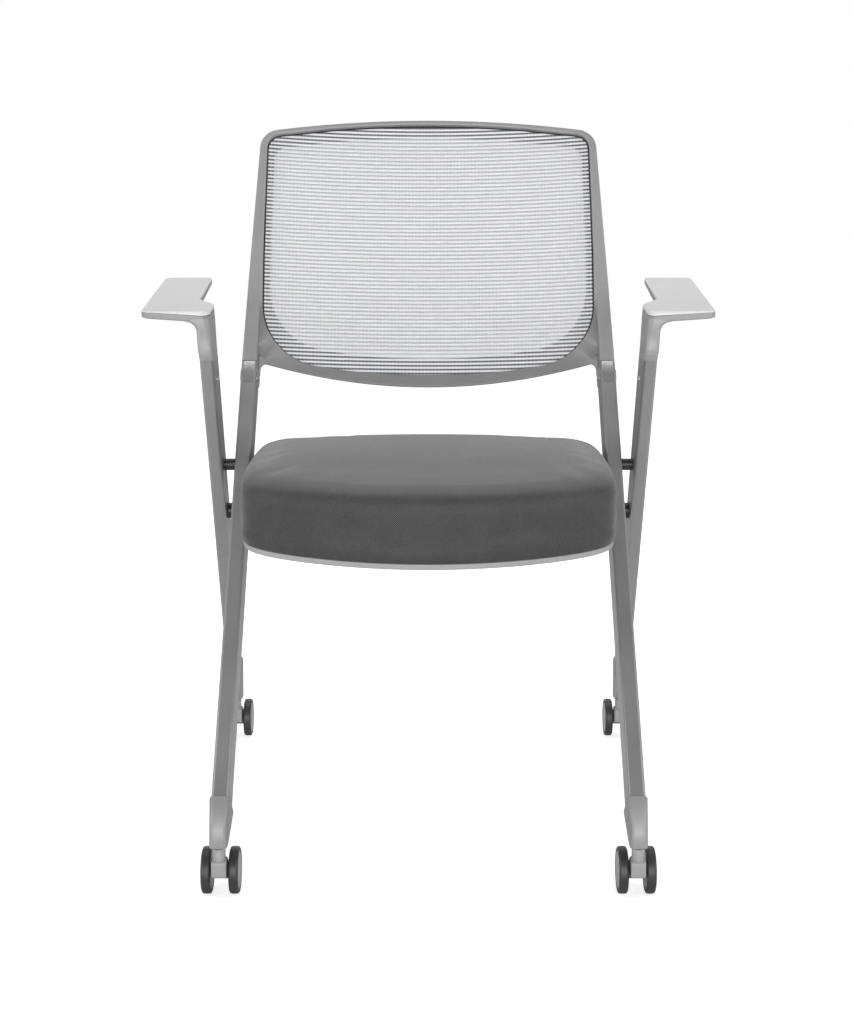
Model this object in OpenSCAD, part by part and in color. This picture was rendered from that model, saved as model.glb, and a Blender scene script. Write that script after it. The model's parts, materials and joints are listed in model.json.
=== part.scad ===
// Nesting chair: crossed tube frame on four twin-wheel casters, flip-up
// cushioned seat, mesh back and cantilevered arm pads.
// The sitter faces -Y. Left and right are as seen from the front. The origin
// is on the floor under the middle of the chair.

/* [Overall] */
// Depth from the front shoes to the back of the rear wheels
overall_d = 616; // [590:1:640]
// Height of the point where the legs cross
cross_z = 429; // [415:1:440]

/* [Front legs] */
// Clearance between the cushion and a front leg
leg_gap = 6.5; // [4:0.5:12]
// Width of the front leg tube
front_leg_w = 19; // [17:0.5:21]
// Depth of the front leg tube
front_leg_d = 44; // [38:1:48]
// Lean of the front leg from the vertical, degrees
front_lean = 42.7; // [41:0.1:44]
// Height at which the upright tube ends in its collar
upright_z = 511; // [500:1:535]
// Wall of all leg tubes
leg_wall = 2; // [1.5:0.1:2.5]
// Corner radius of all leg tubes
leg_corner = 3.5; // [3:0.5:6]

/* [Rear legs] */
// Distance of the rear casters outside the front ones
rear_out = 41.5; // [38:0.5:48]
// Outward slope of the rear legs, degrees
toe_out = 1.4; // [0.5:0.1:1.6]
// Width of the rear leg tube
rear_leg_w = 16.5; // [15:0.5:18]
// Depth of the rear leg tube
rear_leg_d = 42; // [36:1:46]
// Height at which the rear leg bends into its shoe
rear_bend_z = 86; // [82:1:92]
// Height at which the arm support joins the rear leg
neck_z = 570; // [560:1:580]

/* [Cross members] */
// Diameter of the spacers where the legs cross
spacer_d = 14.5; // [13:0.5:18]
// Diameter of the rear cross tube, the seat's hinge
cross_tube_d = 20; // [18:0.5:22]
// Wall of the rear cross tube
cross_tube_wall = 2.5; // [2:0.1:3]
// Height of the rear cross tube
cross_tube_z = 362.5; // [356:0.5:364]
// Diameter of the bar that the seat rests on
rest_bar_d = 18; // [16:0.5:20]
// Diameter of the frame bolts
bolt_d = 8; // [6:0.5:9]

/* [Shoes] */
// Height of the shoes' lower ends
shoe_z = 60; // [58:0.5:64]
// Width and depth of a shoe's lower end
shoe_d = 20; // [19:0.5:23]
// Length of a front shoe along its leg
front_shoe_len = 50; // [46:1:56]
// Length of a rear shoe above its bend
rear_shoe_len = 26; // [22:1:32]
// Step from a leg tube out to its shoe, on each side
shoe_wall = 2; // [1.5:0.1:2.5]

/* [Casters] */
// Diameter of the wheels
wheel_d = 52; // [50:0.5:53]
// Width of one wheel
wheel_w = 10.5; // [9:0.5:12]
// Distance of the axle behind the swivel axis
caster_trail = 18; // [16:0.5:20]
// Width of the body between the wheels
caster_body_w = 16.5; // [15:0.5:19]
// Diameter of the swivel stem
stem_d = 11; // [9:0.5:12]
// Diameter of the wheel axle
axle_d = 6; // [5:0.5:7]

/* [Seat] */
// Width of the cushion
cushion_w = 427; // [410:1:429]
// Depth of the seat
seat_d = 416; // [400:1:424]
// Place of the seat's front edge
seat_front_y = -283; // [-290:1:-275]
// Height of the pan's lower edge at the front
lip_z = 365; // [360:1:370]
// Rise of the pan towards the rear, degrees
seat_rise = 5; // [4:0.1:6]
// Height of the pan's rim
lip_h = 7; // [6:0.5:9]
// Height of the cushion's crest above the floor
crest_z = 468; // [462:1:474]
// Distance of the crest behind the front edge
crest_v = 185; // [160:1:210]
// Fall of the cushion from its crest to the front
front_drop = 16; // [8:1:30]
// Fall of the cushion from its crest to the rear
rear_drop = 14; // [8:1:20]
// Fall of the cushion from its middle to its sides
side_drop = 7; // [4:1:14]
// Width of the roll along the cushion's upper edge
shoulder = 18; // [10:1:46]
// Depth by which the cushion's sides draw in at the bottom
tuck = 3; // [2:0.5:4.5]
// Backward bow of the front edge at the corners
front_bow = 66; // [45:1:80]

/* [Back] */
// Lean of the back from the vertical, degrees
back_lean = 20; // [18:0.5:22]
// Radius of the back's curve seen from above
back_r = 1000; // [900:10:1300]
// Height of the back above its boots, along its lean
back_h = 335; // [320:1:350]
// Inward taper of the back from its foot to its top, on one side
back_taper = 19.5; // [15:0.5:27]
// Width of a stile of the back at its foot
stile_w = 24; // [22:0.5:30]
// Thickness of the top rail seen from the front
top_rail = 6; // [5:0.5:10]
// Thickness of the bottom rail at the middle
bottom_rail = 13; // [11:0.5:18]
// Fall of the bottom rail's middle below the boots
bottom_fall = 26; // [22:0.5:30]
// Depth of the back frame from front to rear
back_depth = 18; // [16:0.5:22]
// Thickness of the mesh
mesh_t = 0.8; // [0.6:0.1:1.2]
// Length of a collar along its upright
collar_len = 33.5; // [24:0.5:38]

/* [Arms] */
// Place of the arm pads' front edge
arm_front_y = -72; // [-80:1:-64]
// Length of an arm pad
arm_len = 245; // [220:1:260]
// Width of an arm pad
arm_w = 60; // [52:1:66]
// Reach of an arm pad's front from its inner head outwards
arm_reach = 79; // [72:0.5:84]
// Thickness of an arm pad
arm_t = 9; // [7:0.5:12]
// Height of the arm pads' top at the front
arm_z = 628; // [618:1:638]
// Rise of the arm pads towards the rear, degrees
arm_rise = 6.1; // [4:0.1:7]
// Outward splay of the arm pads towards the rear, degrees
arm_splay = 1.3; // [0:0.1:4]

/* [Hidden] */

// Faces round a turned part, and round the wide curve of the back
round_faces = 48;
wide_faces = 720;
// Steps in a rounded corner, and points round the cushion
corner_steps = 6;
cushion_points = 56;
// Clearance of a running fit, a loose fit and a seated joint
run_gap = 0.05;
loose_gap = 0.2;
seat_gap = 0.3;
// Overrun of every cut
over = 1;
// Colours as the photograph shows them
frame_colour = [0.62, 0.62, 0.62];
dark_steel = [0.2, 0.2, 0.2];
pad_colour = [0.8, 0.8, 0.8];
fabric_colour = [0.3, 0.3, 0.3];
mesh_colour = [0.9, 0.9, 0.92];
tyre_colour = [0.33, 0.33, 0.33];
screw_colour = [0.72, 0.72, 0.72];

// Half widths: front legs beside the cushion, rear casters, back, arm pads
neck_in = 15.5;
front_half = cushion_w / 2 + front_leg_w / 2 + leg_gap;
rear_half = front_half + rear_out;
back_foot_half = front_half + front_leg_w / 2;
back_top_half = back_foot_half - back_taper;
opening_half = back_foot_half - stile_w;
neck_inner_half = rear_half - neck_in;
arm_outer_half = neck_inner_half + arm_reach;

// Places of the swivel axes, the crossing and the legs' slopes
front_stem_y = -overall_d / 2 + shoe_d / 2;
rear_stem_y = overall_d / 2 - wheel_d / 2 - caster_trail;
cross_y = front_stem_y + (cross_z - shoe_z) * tan(front_lean);
rear_slope = (rear_stem_y - cross_y) / (cross_z - rear_bend_z);
rear_lean = atan(rear_slope);
function front_y(z) = cross_y - (cross_z - z) * tan(front_lean);
function rear_y(z) = cross_y + (cross_z - z) * rear_slope;
function rear_x(z) = rear_half - (z - rear_bend_z) * tan(toe_out);

// Ends of the leg tubes, along their own axes, and reach of a shoe into its tube
front_start = front_shoe_len + seat_gap;
upright_s = (upright_z - shoe_z) / cos(front_lean);
collar_s = upright_s + collar_len;
rear_start = rear_shoe_len + seat_gap;
shoe_plug = 30;
shoe_end_r = 5;
stem_cover = 3;
rear_run = (neck_z - rear_bend_z) / cos(rear_lean) + rear_leg_d;

// Length of the cross tube, between the rear legs
cross_tube_l = 2 * (rear_x(cross_tube_z) - rear_leg_w / 2 - seat_gap);

// Frame bolts: head, and reach of the thread in the front leg and cross tube
bolt_head_d = 14;
bolt_head_h = 2;
bolt_reach = 6;
plug_len = 24;
bolt_socket_d = 5;
hex_faces = 6;
bolt_socket_h = 1.4;

// Caster parts
stem_head_h = 20;
stem_pin_d = 8;
stem_pin_h = 16;
stem_bore_h = 22;
stem_flange_gap = 1.2;
housing_d = 14.5;
housing_low_z = 38;
body_front = 9;
body_top_z = 46;
body_front_low_z = 27;
boss_r = 9.5;
wheel_gap = 1.75;
tyre_t = 5;
tyre_shoulder = 1.8;
hub_dish = 1.2;
hub_dish_d = 30;
hub_cap_d = 12;
hub_cap_in = 3;

// Seat layers, in the pan's own plane
pan_inset = 3.5;
pan_wall = 3;
board_gap = 0.3;
board_t = 9;
skirt_gap = 0.3;
plan_power = 10;
side_power = 2.2;
bracket_in = 63.5;
bracket_x = cushion_w / 2 - bracket_in;
bracket_w = 22;
flange_w = 52;
flange_l = 104;
flange_t = 4;
flange_back = 34;
ring_d = 36;
bushing_d = 26;
bumper_in = 50;
bumper_x = bracket_x - bumper_in;
bumper_d = 24;
bumper_h = 8;
seat_screw_d = 6;
seat_screw_head_d = 10;
seat_screw_head_h = 3;
seat_screw_len = 13;
screw_inset = 9;

// Hinge axis of the seat, in the chair and in the pan's own plane
hinge_y = rear_y(cross_tube_z);
hinge_v = (hinge_y - seat_front_y) * cos(seat_rise) + (cross_tube_z - lip_z) * sin(seat_rise);
hinge_n = -(hinge_y - seat_front_y) * sin(seat_rise) + (cross_tube_z - lip_z) * cos(seat_rise);

// Rest bar: on the front legs' centre line, just below the bumpers
rest_drop = bumper_h + seat_gap + rest_bar_d / 2;
rest_bar_z = (-rest_drop + (front_y(0) - seat_front_y) * sin(seat_rise) + lip_z * cos(seat_rise))
  / (cos(seat_rise) - tan(front_lean) * sin(seat_rise));
rest_bar_y = front_y(rest_bar_z);
rest_bar_v = (rest_bar_y - seat_front_y) * cos(seat_rise) + (rest_bar_z - lip_z) * sin(seat_rise);

// Back: the origin of its leaning frame, above the boots, its layers and its outline
back_forward = 10;
boot_drop = 15.5;
back_y = front_stem_y + (collar_s + boot_drop) * sin(front_lean) - back_forward;
back_z = shoe_z + (collar_s + boot_drop) * cos(front_lean);
back_front = -10;
groove_front = -1.4;
groove_w = 4;
rim_inset_side = 9;
rim_inset_top = 14;
rim_inset_low = 24;
top_bow_r = 970;
bottom_bow_r = 880;
opening_bow_r = 1300;
top_corner_r = 28;
opening_top_r = 20;
opening_low_r = 80;
opening_corner_rise = 18;
bow_end_share = 1.4;
opening_top_in = 3.5;
stile_foot_in = 20;
foot_rise = 13;
bow_steps = 12;
welt_w = 1.5;
welt_t = 1.6;
plug_clear = 0.3;
plug_s = 55;
boot_h = 34;
boot_w = 16;
boot_slab = 1;
boot_in = 3;
ear_t = 2.2;
ear_h = 18;
ear_share = 0.62;
ear_d = 22;

// Arms: the head of the arm support and its step
neck_step = 65;
arm_corner_r = 6;
arm_head_r = 12;
arm_tip_r = 4;
neck_plug = 45;
pin_drop = 26;
small_screw_d = 6;
small_head_d = 8;
small_head_h = 1.6;
small_screw_len = 10;
back_screw_drop_share = 0.3;
pin_z = neck_z - pin_drop;
neck_flare = 17;

// Rounding of one outline corner b between its neighbours a and c
function unit(v) = v / norm(v);
function turn(a) = a > 180 ? a - 360 : a < -180 ? a + 360 : a;
function fillet(a, b, c, r) = let (
    u = unit(a - b), v = unit(c - b), half = acos(u * v) / 2,
    ctr = b + unit(u + v) * r / sin(half),
    s = b + u * r / tan(half) - ctr, e = b + v * r / tan(half) - ctr,
    a0 = atan2(s[1], s[0]), da = turn(atan2(e[1], e[0]) - a0))
  [for (i = [0 : corner_steps]) ctr + r * [cos(a0 + da * i / corner_steps), sin(a0 + da * i / corner_steps)]];
function flat(p) = [p[0], p[1]];
// Outline from corners [x, y, radius]
function rounded(pts) = let (n = len(pts)) [for (i = [0 : n - 1])
    each (pts[i][2] > 0
      ? fillet(flat(pts[(i + n - 1) % n]), flat(pts[i]), flat(pts[(i + 1) % n]), pts[i][2])
      : [flat(pts[i])])];
// Corners along a wide arc whose middle is at height h, from x0 to x1
function bow(x0, x1, h, r, dir) = [for (i = [0 : bow_steps])
    let (x = x0 + (x1 - x0) * i / bow_steps) [x, h - dir * (r - sqrt(r * r - x * x)), 0]];

module on_side(side) {
  if (side == "left") mirror([1, 0, 0]) children();
  else children();
}

// Rounded rectangle made of exact arcs
module bar_section(w, d, r) {
  square([w - 2 * r, d], center = true);
  square([w, d - 2 * r], center = true);
  for (x = [-1, 1], y = [-1, 1]) translate([x * (w / 2 - r), y * (d / 2 - r)])
    circle(r = r, $fn = round_faces);
}

// Section of what plugs into a leg tube
module plug_section(w, d) {
  bar_section(w - 2 * (leg_wall + plug_clear), d - 2 * (leg_wall + plug_clear), leg_corner - leg_wall);
}

module rod(d, l) {
  rotate([0, 90, 0]) cylinder(d = d, h = l, center = true, $fn = round_faces);
}

module along_front() {
  translate([front_half, front_stem_y, shoe_z]) rotate([-front_lean, 0, 0]) children();
}

module along_rear() {
  translate([rear_half, rear_stem_y, rear_bend_z]) rotate([rear_lean, -toe_out, 0]) children();
}

// Solid through a stack of rings with the same number of points
module loft(rings) {
  n = len(rings[0]);
  m = len(rings);
  pts = concat([for (r = rings) each r],
    [centre_of(rings[0]), centre_of(rings[m - 1])]);
  sides = [for (k = [0 : m - 2], i = [0 : n - 1]) let (j = (i + 1) % n)
    each [[k * n + i, (k + 1) * n + j, k * n + j], [k * n + i, (k + 1) * n + i, (k + 1) * n + j]]];
  caps = [for (i = [0 : n - 1]) let (j = (i + 1) % n)
    each [[m * n, i, j], [m * n + 1, (m - 1) * n + j, (m - 1) * n + i]]];
  polyhedron(points = pts, faces = concat(sides, caps), convexity = 6);
}

function centre_of(ring) = [for (k = [0 : 2]) sum_of(ring, k) / len(ring)];
function sum_of(ring, k, i = 0) = i == len(ring) ? 0 : ring[i][k] + sum_of(ring, k, i + 1);

// Front legs and uprights

module back_screw_holes(d) {
  for (k = [1, 2]) translate([0, 0, upright_s - k * plug_s * back_screw_drop_share])
    rotate([-90, 0, 0]) cylinder(d = d, h = front_leg_d, $fn = round_faces);
}

module front_leg(side) {
  color(frame_colour) on_side(side) difference() {
    along_front() translate([0, 0, front_start]) linear_extrude(upright_s - front_start) difference() {
      bar_section(front_leg_w, front_leg_d, leg_corner);
      bar_section(front_leg_w - 2 * leg_wall, front_leg_d - 2 * leg_wall, leg_corner - leg_wall);
    }
    along_front() back_screw_holes(small_screw_d + 2 * loose_gap);
    translate([front_half + front_leg_w / 2, cross_y, cross_z]) rod(bolt_d + 2 * run_gap, front_leg_w);
  }
}

// Rear legs

module rear_leg(side) {
  color(frame_colour) on_side(side) difference() {
    along_rear() translate([0, 0, rear_start]) linear_extrude(rear_run - rear_start) difference() {
      bar_section(rear_leg_w, rear_leg_d, leg_corner);
      bar_section(rear_leg_w - 2 * leg_wall, rear_leg_d - 2 * leg_wall, leg_corner - leg_wall);
    }
    translate([rear_half - cushion_w / 2, -overall_d / 2, neck_z]) cube([cushion_w, overall_d, arm_len]);
    translate([rear_x(cross_z), cross_y, cross_z]) rod(bolt_d + 2 * loose_gap, 2 * rear_leg_w);
    translate([rear_x(cross_tube_z), hinge_y, cross_tube_z]) rod(bolt_d + 2 * loose_gap, 2 * rear_leg_w);
    translate([rear_x(pin_z), rear_y(pin_z), pin_z]) translate([-rear_leg_w, 0, 0])
      rod(small_screw_d + 2 * loose_gap, 2 * rear_leg_w - leg_wall);
  }
}

// Cross members

module crossing_spacers() {
  inner = front_half + front_leg_w / 2;
  outer = rear_x(cross_z) - rear_leg_w / 2 - seat_gap;
  color(dark_steel) for (side = ["left", "right"]) on_side(side)
    translate([(inner + outer) / 2, cross_y, cross_z]) difference() {
      rod(spacer_d, outer - inner);
      rod(bolt_d + 2 * loose_gap, outer - inner + over);
    }
}

module cross_tube() {
  color(dark_steel) translate([0, hinge_y, cross_tube_z]) difference() {
    rod(cross_tube_d, cross_tube_l);
    rod(cross_tube_d - 2 * cross_tube_wall, cross_tube_l - 2 * plug_len);
    rod(bolt_d + 2 * run_gap, cross_tube_l + over);
  }
}

module seat_rest_bar() {
  bar_l = 2 * front_half - front_leg_w;
  color(dark_steel) translate([0, rest_bar_y, rest_bar_z]) difference() {
    rod(rest_bar_d, bar_l);
    rod(rest_bar_d - 2 * cross_tube_wall, bar_l + over);
  }
}

// One bolt along X: its head from x outwards, its thread down to x_end
module frame_bolt(x, x_end) {
  translate([(x + x_end) / 2, 0, 0]) rod(bolt_d, x - x_end);
  difference() {
    translate([x, 0, 0]) rotate([0, 90, 0])
      cylinder(d1 = bolt_head_d, d2 = bolt_head_d - bolt_head_h, h = bolt_head_h, $fn = round_faces);
    translate([x + bolt_head_h - bolt_socket_h, 0, 0]) rotate([0, 90, 0])
      cylinder(d = bolt_socket_d, h = bolt_socket_h + over, $fn = hex_faces);
  }
}

module frame_bolts() {
  color(screw_colour) for (side = ["left", "right"]) on_side(side) {
    translate([0, cross_y, cross_z])
      frame_bolt(rear_x(cross_z) + rear_leg_w / 2 + seat_gap, front_half + front_leg_w / 2 - bolt_reach);
    translate([0, hinge_y, cross_tube_z])
      frame_bolt(rear_x(cross_tube_z) + rear_leg_w / 2 + seat_gap, cross_tube_l / 2 - plug_len + bolt_reach);
  }
}

// Shoes and stems

module shoe_end(x, y) {
  translate([x, y, shoe_z]) linear_extrude(shoe_wall) bar_section(shoe_d, shoe_d, shoe_end_r);
  translate([x, y, shoe_z]) linear_extrude(stem_bore_h + shoe_wall)
    bar_section(stem_d + 2 * stem_cover, stem_d + 2 * stem_cover, shoe_end_r);
}

module stem_bore(x, y) {
  translate([x, y, shoe_z - over])
    cylinder(d = stem_d + 2 * run_gap, h = stem_bore_h + over, $fn = round_faces);
}

module front_shoe(side) {
  color(frame_colour) on_side(side) difference() {
    union() {
      hull() {
        along_front() translate([0, 0, front_shoe_len - shoe_wall]) linear_extrude(shoe_wall)
          bar_section(front_leg_w + 2 * shoe_wall, front_leg_d + 2 * shoe_wall, leg_corner + shoe_wall);
        shoe_end(front_half, front_stem_y);
      }
      along_front() translate([0, 0, front_shoe_len - over]) linear_extrude(shoe_plug + over)
        plug_section(front_leg_w, front_leg_d);
    }
    stem_bore(front_half, front_stem_y);
  }
}

module rear_shoe(side) {
  color(frame_colour) on_side(side) difference() {
    union() {
      hull() {
        along_rear() translate([0, 0, rear_shoe_len - shoe_wall]) linear_extrude(shoe_wall)
          bar_section(rear_leg_w + 2 * shoe_wall, rear_leg_d + 2 * shoe_wall, leg_corner + shoe_wall);
        shoe_end(rear_half, rear_stem_y);
      }
      along_rear() translate([0, 0, rear_shoe_len - over]) linear_extrude(shoe_plug + over)
        plug_section(rear_leg_w, rear_leg_d);
    }
    stem_bore(rear_half, rear_stem_y);
  }
}

module caster_stems() {
  color(screw_colour) for (side = ["left", "right"]) on_side(side)
    for (p = [[front_half, front_stem_y], [rear_half, rear_stem_y]]) translate([p[0], p[1], shoe_z]) {
      cylinder(d = stem_d, h = stem_head_h, $fn = round_faces);
      translate([0, 0, -stem_pin_h]) cylinder(d = stem_pin_d, h = stem_pin_h, $fn = round_faces);
    }
}

// Casters: modelled about the swivel axis, at the floor

module caster_body(x, y) {
  r = wheel_d / 2;
  top = shoe_z - stem_flange_gap;
  color(frame_colour) translate([x, y, 0]) difference() {
    union() {
      translate([0, 0, housing_low_z]) cylinder(d = housing_d, h = top - housing_low_z, $fn = round_faces);
      rotate([90, 0, 90]) linear_extrude(caster_body_w, center = true) {
        polygon([[-body_front, body_front_low_z], [-body_front, body_top_z], [body_front, body_top_z],
          [caster_trail + boss_r, r], [caster_trail, r - boss_r]]);
        translate([caster_trail, r]) circle(r = boss_r, $fn = round_faces);
      }
    }
    translate([0, 0, shoe_z - stem_pin_h - over])
      cylinder(d = stem_pin_d + 2 * run_gap, h = stem_pin_h + over, $fn = round_faces);
    translate([0, caster_trail, r]) rod(axle_d + 2 * run_gap, caster_body_w + over);
  }
}

module caster_axle(x, y) {
  color(screw_colour) translate([x, y + caster_trail, wheel_d / 2])
    rod(axle_d, caster_body_w + 2 * (wheel_gap + wheel_w - hub_cap_in));
}

// A wheel lies on its outer face, which points along dir
module wheel_place(x, y, dir) {
  translate([x + dir * (caster_body_w / 2 + wheel_gap), y + caster_trail, wheel_d / 2])
    rotate([0, dir * 90, 0]) children();
}

module tyre(x, y, dir) {
  r = wheel_d / 2;
  color(tyre_colour) wheel_place(x, y, dir) rotate_extrude($fn = round_faces)
    polygon([[r - tyre_t, 0], [r - tyre_shoulder, 0], [r, tyre_shoulder],
      [r, wheel_w - tyre_shoulder], [r - tyre_shoulder, wheel_w], [r - tyre_t, wheel_w]]);
}

module hub(x, y, dir) {
  r = wheel_d / 2 - tyre_t;
  bore = axle_d / 2 + run_gap;
  color(screw_colour) wheel_place(x, y, dir) rotate_extrude($fn = round_faces)
    polygon([[bore, 0], [r, 0], [r, wheel_w - hub_dish / 2], [r - hub_dish, wheel_w],
      [hub_dish_d / 2, wheel_w], [hub_dish_d / 2 - hub_dish, wheel_w - hub_dish],
      [hub_cap_d / 2 + hub_dish, wheel_w - hub_dish], [hub_cap_d / 2, wheel_w], [0, wheel_w],
      [0, wheel_w - hub_cap_in + loose_gap], [bore, wheel_w - hub_cap_in + loose_gap]]);
}

// Arms

// Rounded rectangle ring of half sizes hx, hy at c, tilted about X by a
function ring_at(c, hx, hy, r, a) =
  [for (p = rounded([[hx, -hy, r], [hx, hy, r], [-hx, hy, r], [-hx, -hy, r]]))
    [c[0] + p[0], c[1] + p[1] * cos(a), c[2] + p[1] * sin(a)]];

// Stations of the arm support from the tube to the pad:
// [share of the rise, of the outward flare, of the tilt]
neck_shares = [[0, 0, 0], [0.15, 0.01, 0.15], [0.3, 0.03, 0.3], [0.55, 0.1, 0.5], [0.75, 0.25, 0.75],
  [0.9, 0.5, 0.9], [1, 1, 1]];

function arm_under_z(y) = arm_z - arm_t / cos(arm_rise) + (y - arm_front_y) * tan(arm_rise);

module arm_neck(side) {
  depth = rear_leg_d / cos(rear_lean);
  low_front = rear_y(neck_z) - depth / 2;
  low_rear = rear_y(neck_z) + depth / 2;
  head_rear = arm_front_y + neck_step;
  inner0 = rear_x(neck_z) - rear_leg_w / 2;
  outer0 = rear_x(neck_z) + rear_leg_w / 2;
  top_z = arm_under_z((arm_front_y + head_rear) / 2) - loose_gap;
  rings = [for (s = neck_shares) let (
      rise = (top_z - neck_z) * s[0],
      x0 = inner0 + (neck_inner_half - inner0) * s[0],
      x1 = outer0 + neck_flare * s[1],
      front = low_front + (arm_front_y - low_front) * s[0] - rise * rear_slope * pow(1 - s[0], 2),
      rear = low_rear + (head_rear - low_rear) * s[0] - rise * rear_slope * pow(1 - s[0], 3))
    ring_at([(x0 + x1) / 2, (front + rear) / 2, neck_z + rise], (x1 - x0) / 2, (rear - front) / 2,
      leg_corner, arm_rise * s[2])];
  color(frame_colour) on_side(side) difference() {
    union() {
      loft(rings);
      intersection() {
        along_rear() translate([0, 0, rear_run - rear_leg_d - neck_plug])
          linear_extrude(neck_plug + rear_leg_d) plug_section(rear_leg_w, rear_leg_d);
        translate([rear_half - cushion_w / 2, -overall_d / 2, 0]) cube([cushion_w, overall_d, neck_z + over]);
      }
    }
    translate([rear_x(pin_z) - rear_leg_w / 2, rear_y(pin_z), pin_z])
      rod(small_screw_d + 2 * run_gap, 2 * small_screw_len);
  }
}

module arm_pad(side) {
  outer_rear = arm_outer_half + arm_len * tan(arm_splay);
  outline = rounded([[neck_inner_half, 0, arm_head_r], [arm_outer_half, 0, arm_corner_r],
    [outer_rear, arm_len, arm_corner_r], [outer_rear - arm_w, arm_len, arm_tip_r],
    [outer_rear - arm_w - (arm_len - neck_step) * tan(arm_splay), neck_step, 0],
    [neck_inner_half, neck_step, arm_corner_r]]);
  color(pad_colour) on_side(side) translate([0, arm_front_y, arm_z - arm_t / cos(arm_rise)])
    rotate([arm_rise, 0, 0]) linear_extrude(arm_t) polygon(outline);
}

module arm_screws() {
  color(screw_colour) for (side = ["left", "right"]) on_side(side)
    translate([rear_x(pin_z) - rear_leg_w / 2 - seat_gap, rear_y(pin_z), pin_z]) {
      translate([-small_head_h / 2, 0, 0]) rod(small_head_d, small_head_h);
      translate([(small_screw_len - small_head_h) / 2, 0, 0])
        rod(small_screw_d, small_screw_len + small_head_h);
    }
}

// Back

module back_place() {
  translate([0, back_y, back_z]) rotate([-back_lean, 0, 0]) children();
}

// Curved slab of the back between two depths behind its middle surface
module back_slab(t0, t1) {
  drop = sqrt(back_r * back_r - front_half * front_half);
  translate([0, -drop, -back_h]) difference() {
    cylinder(r = back_r + t1, h = 3 * back_h, $fn = wide_faces);
    translate([0, 0, -over]) cylinder(r = back_r + t0, h = 3 * back_h + 2 * over, $fn = wide_faces);
  }
}

module back_plate(t0, t1, outline) {
  intersection() {
    back_slab(t0, t1);
    rotate([90, 0, 0]) linear_extrude(2 * front_half, center = true) polygon(outline);
  }
}

// Outer edge of the back frame, and the opening drawn in by some amounts
foot_in = back_foot_half - stile_foot_in;
rail_end = foot_in - ear_t;
function back_outline() = rounded(concat(
    bow(-back_top_half + top_corner_r, back_top_half - top_corner_r, back_h, top_bow_r, 1),
    [[back_top_half, top_edge(back_top_half), top_corner_r], [back_foot_half, foot_rise, 0],
     [foot_in, foot_rise, 0]],
    bow(rail_end, -rail_end, -bottom_fall, bottom_bow_r, -1),
    [[-foot_in, foot_rise, 0], [-back_foot_half, foot_rise, 0],
     [-back_top_half, top_edge(back_top_half), top_corner_r]]));
function top_edge(x) = back_h - (top_bow_r - sqrt(top_bow_r * top_bow_r - x * x));
function opening(side_in, top_in, low_in) = let (
    top = back_h - top_rail - top_in, low = -bottom_fall + bottom_rail + low_in,
    wide = opening_half - side_in, narrow = wide - opening_top_in,
    tr = top_bow_r - top_rail, corner = top - (tr - sqrt(tr * tr - narrow * narrow)),
    bow_end = wide - bow_end_share * opening_low_r, low_corner = low + opening_corner_rise)
  rounded(concat(
    bow(-narrow + opening_low_r, narrow - opening_low_r, top, tr, 1),
    [[narrow, corner, opening_top_r], [wide, low + 2 * opening_low_r, 0],
     [wide, low_corner, opening_low_r]],
    bow(bow_end, -bow_end, low, opening_bow_r, -1),
    [[-wide, low_corner, opening_low_r], [-wide, low + 2 * opening_low_r, 0],
     [-narrow, corner, opening_top_r]]));

module upright_plug() {
  along_front() translate([0, 0, upright_s - plug_s]) linear_extrude(plug_s + collar_len + boot_slab)
    plug_section(front_leg_w, front_leg_d);
}

module back_boot() {
  hull() {
    along_front() translate([0, 0, collar_s + loose_gap]) linear_extrude(boot_slab)
      bar_section(front_leg_w, front_leg_d, leg_corner);
    back_place() translate([back_foot_half - boot_w / 2 - boot_in, 0, boot_h]) linear_extrude(boot_slab)
      square([boot_w - boot_slab, back_depth - boot_slab], center = true);
  }
}

module back_frame() {
  back_rear = back_front + back_depth;
  color(frame_colour) difference() {
    union() {
      back_place() difference() {
        back_plate(back_front, back_rear, back_outline());
        back_plate(back_front - over, back_rear + over, opening(0, 0, 0));
        back_plate(groove_front, back_rear + over, opening(-groove_w, -groove_w + over, -groove_w));
      }
      for (side = ["left", "right"]) on_side(side) {
        back_boot();
        upright_plug();
      }
    }
    for (side = ["left", "right"]) on_side(side) along_front() back_screw_holes(small_screw_d + 2 * run_gap);
  }
}

module back_rim() {
  c = loose_gap;
  color(frame_colour) back_place() difference() {
    back_plate(groove_front + mesh_t + 2 * c, back_front + back_depth,
      opening(c - groove_w, c + over - groove_w, c - groove_w));
    back_plate(back_front - over, back_front + back_depth + over,
      opening(rim_inset_side, rim_inset_top, rim_inset_low));
  }
}

module back_mesh() {
  c = loose_gap;
  color(mesh_colour) back_place()
    back_plate(groove_front + c, groove_front + c + mesh_t,
      opening(c - groove_w, c + over - groove_w, c - groove_w));
}

module mesh_welt() {
  c = run_gap;
  color(dark_steel) back_place() difference() {
    back_plate(groove_front - welt_t, groove_front, opening(c, c, c));
    back_plate(groove_front - welt_t - over, groove_front + over, opening(welt_w, welt_w, welt_w));
  }
}

module back_collar(side) {
  color(frame_colour) on_side(side) along_front() difference() {
    union() {
      translate([0, 0, upright_s + loose_gap]) linear_extrude(collar_len - loose_gap)
        bar_section(front_leg_w, front_leg_d, leg_corner);
      translate([0, 0, upright_s + collar_len * ear_share]) linear_extrude(ear_h, center = true)
        bar_section(front_leg_w + 2 * ear_t, ear_d, ear_t);
    }
    translate([0, 0, upright_s - over]) linear_extrude(collar_len + 2 * over)
      bar_section(front_leg_w - 2 * leg_wall, front_leg_d - 2 * leg_wall, leg_corner - leg_wall);
  }
}

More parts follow.
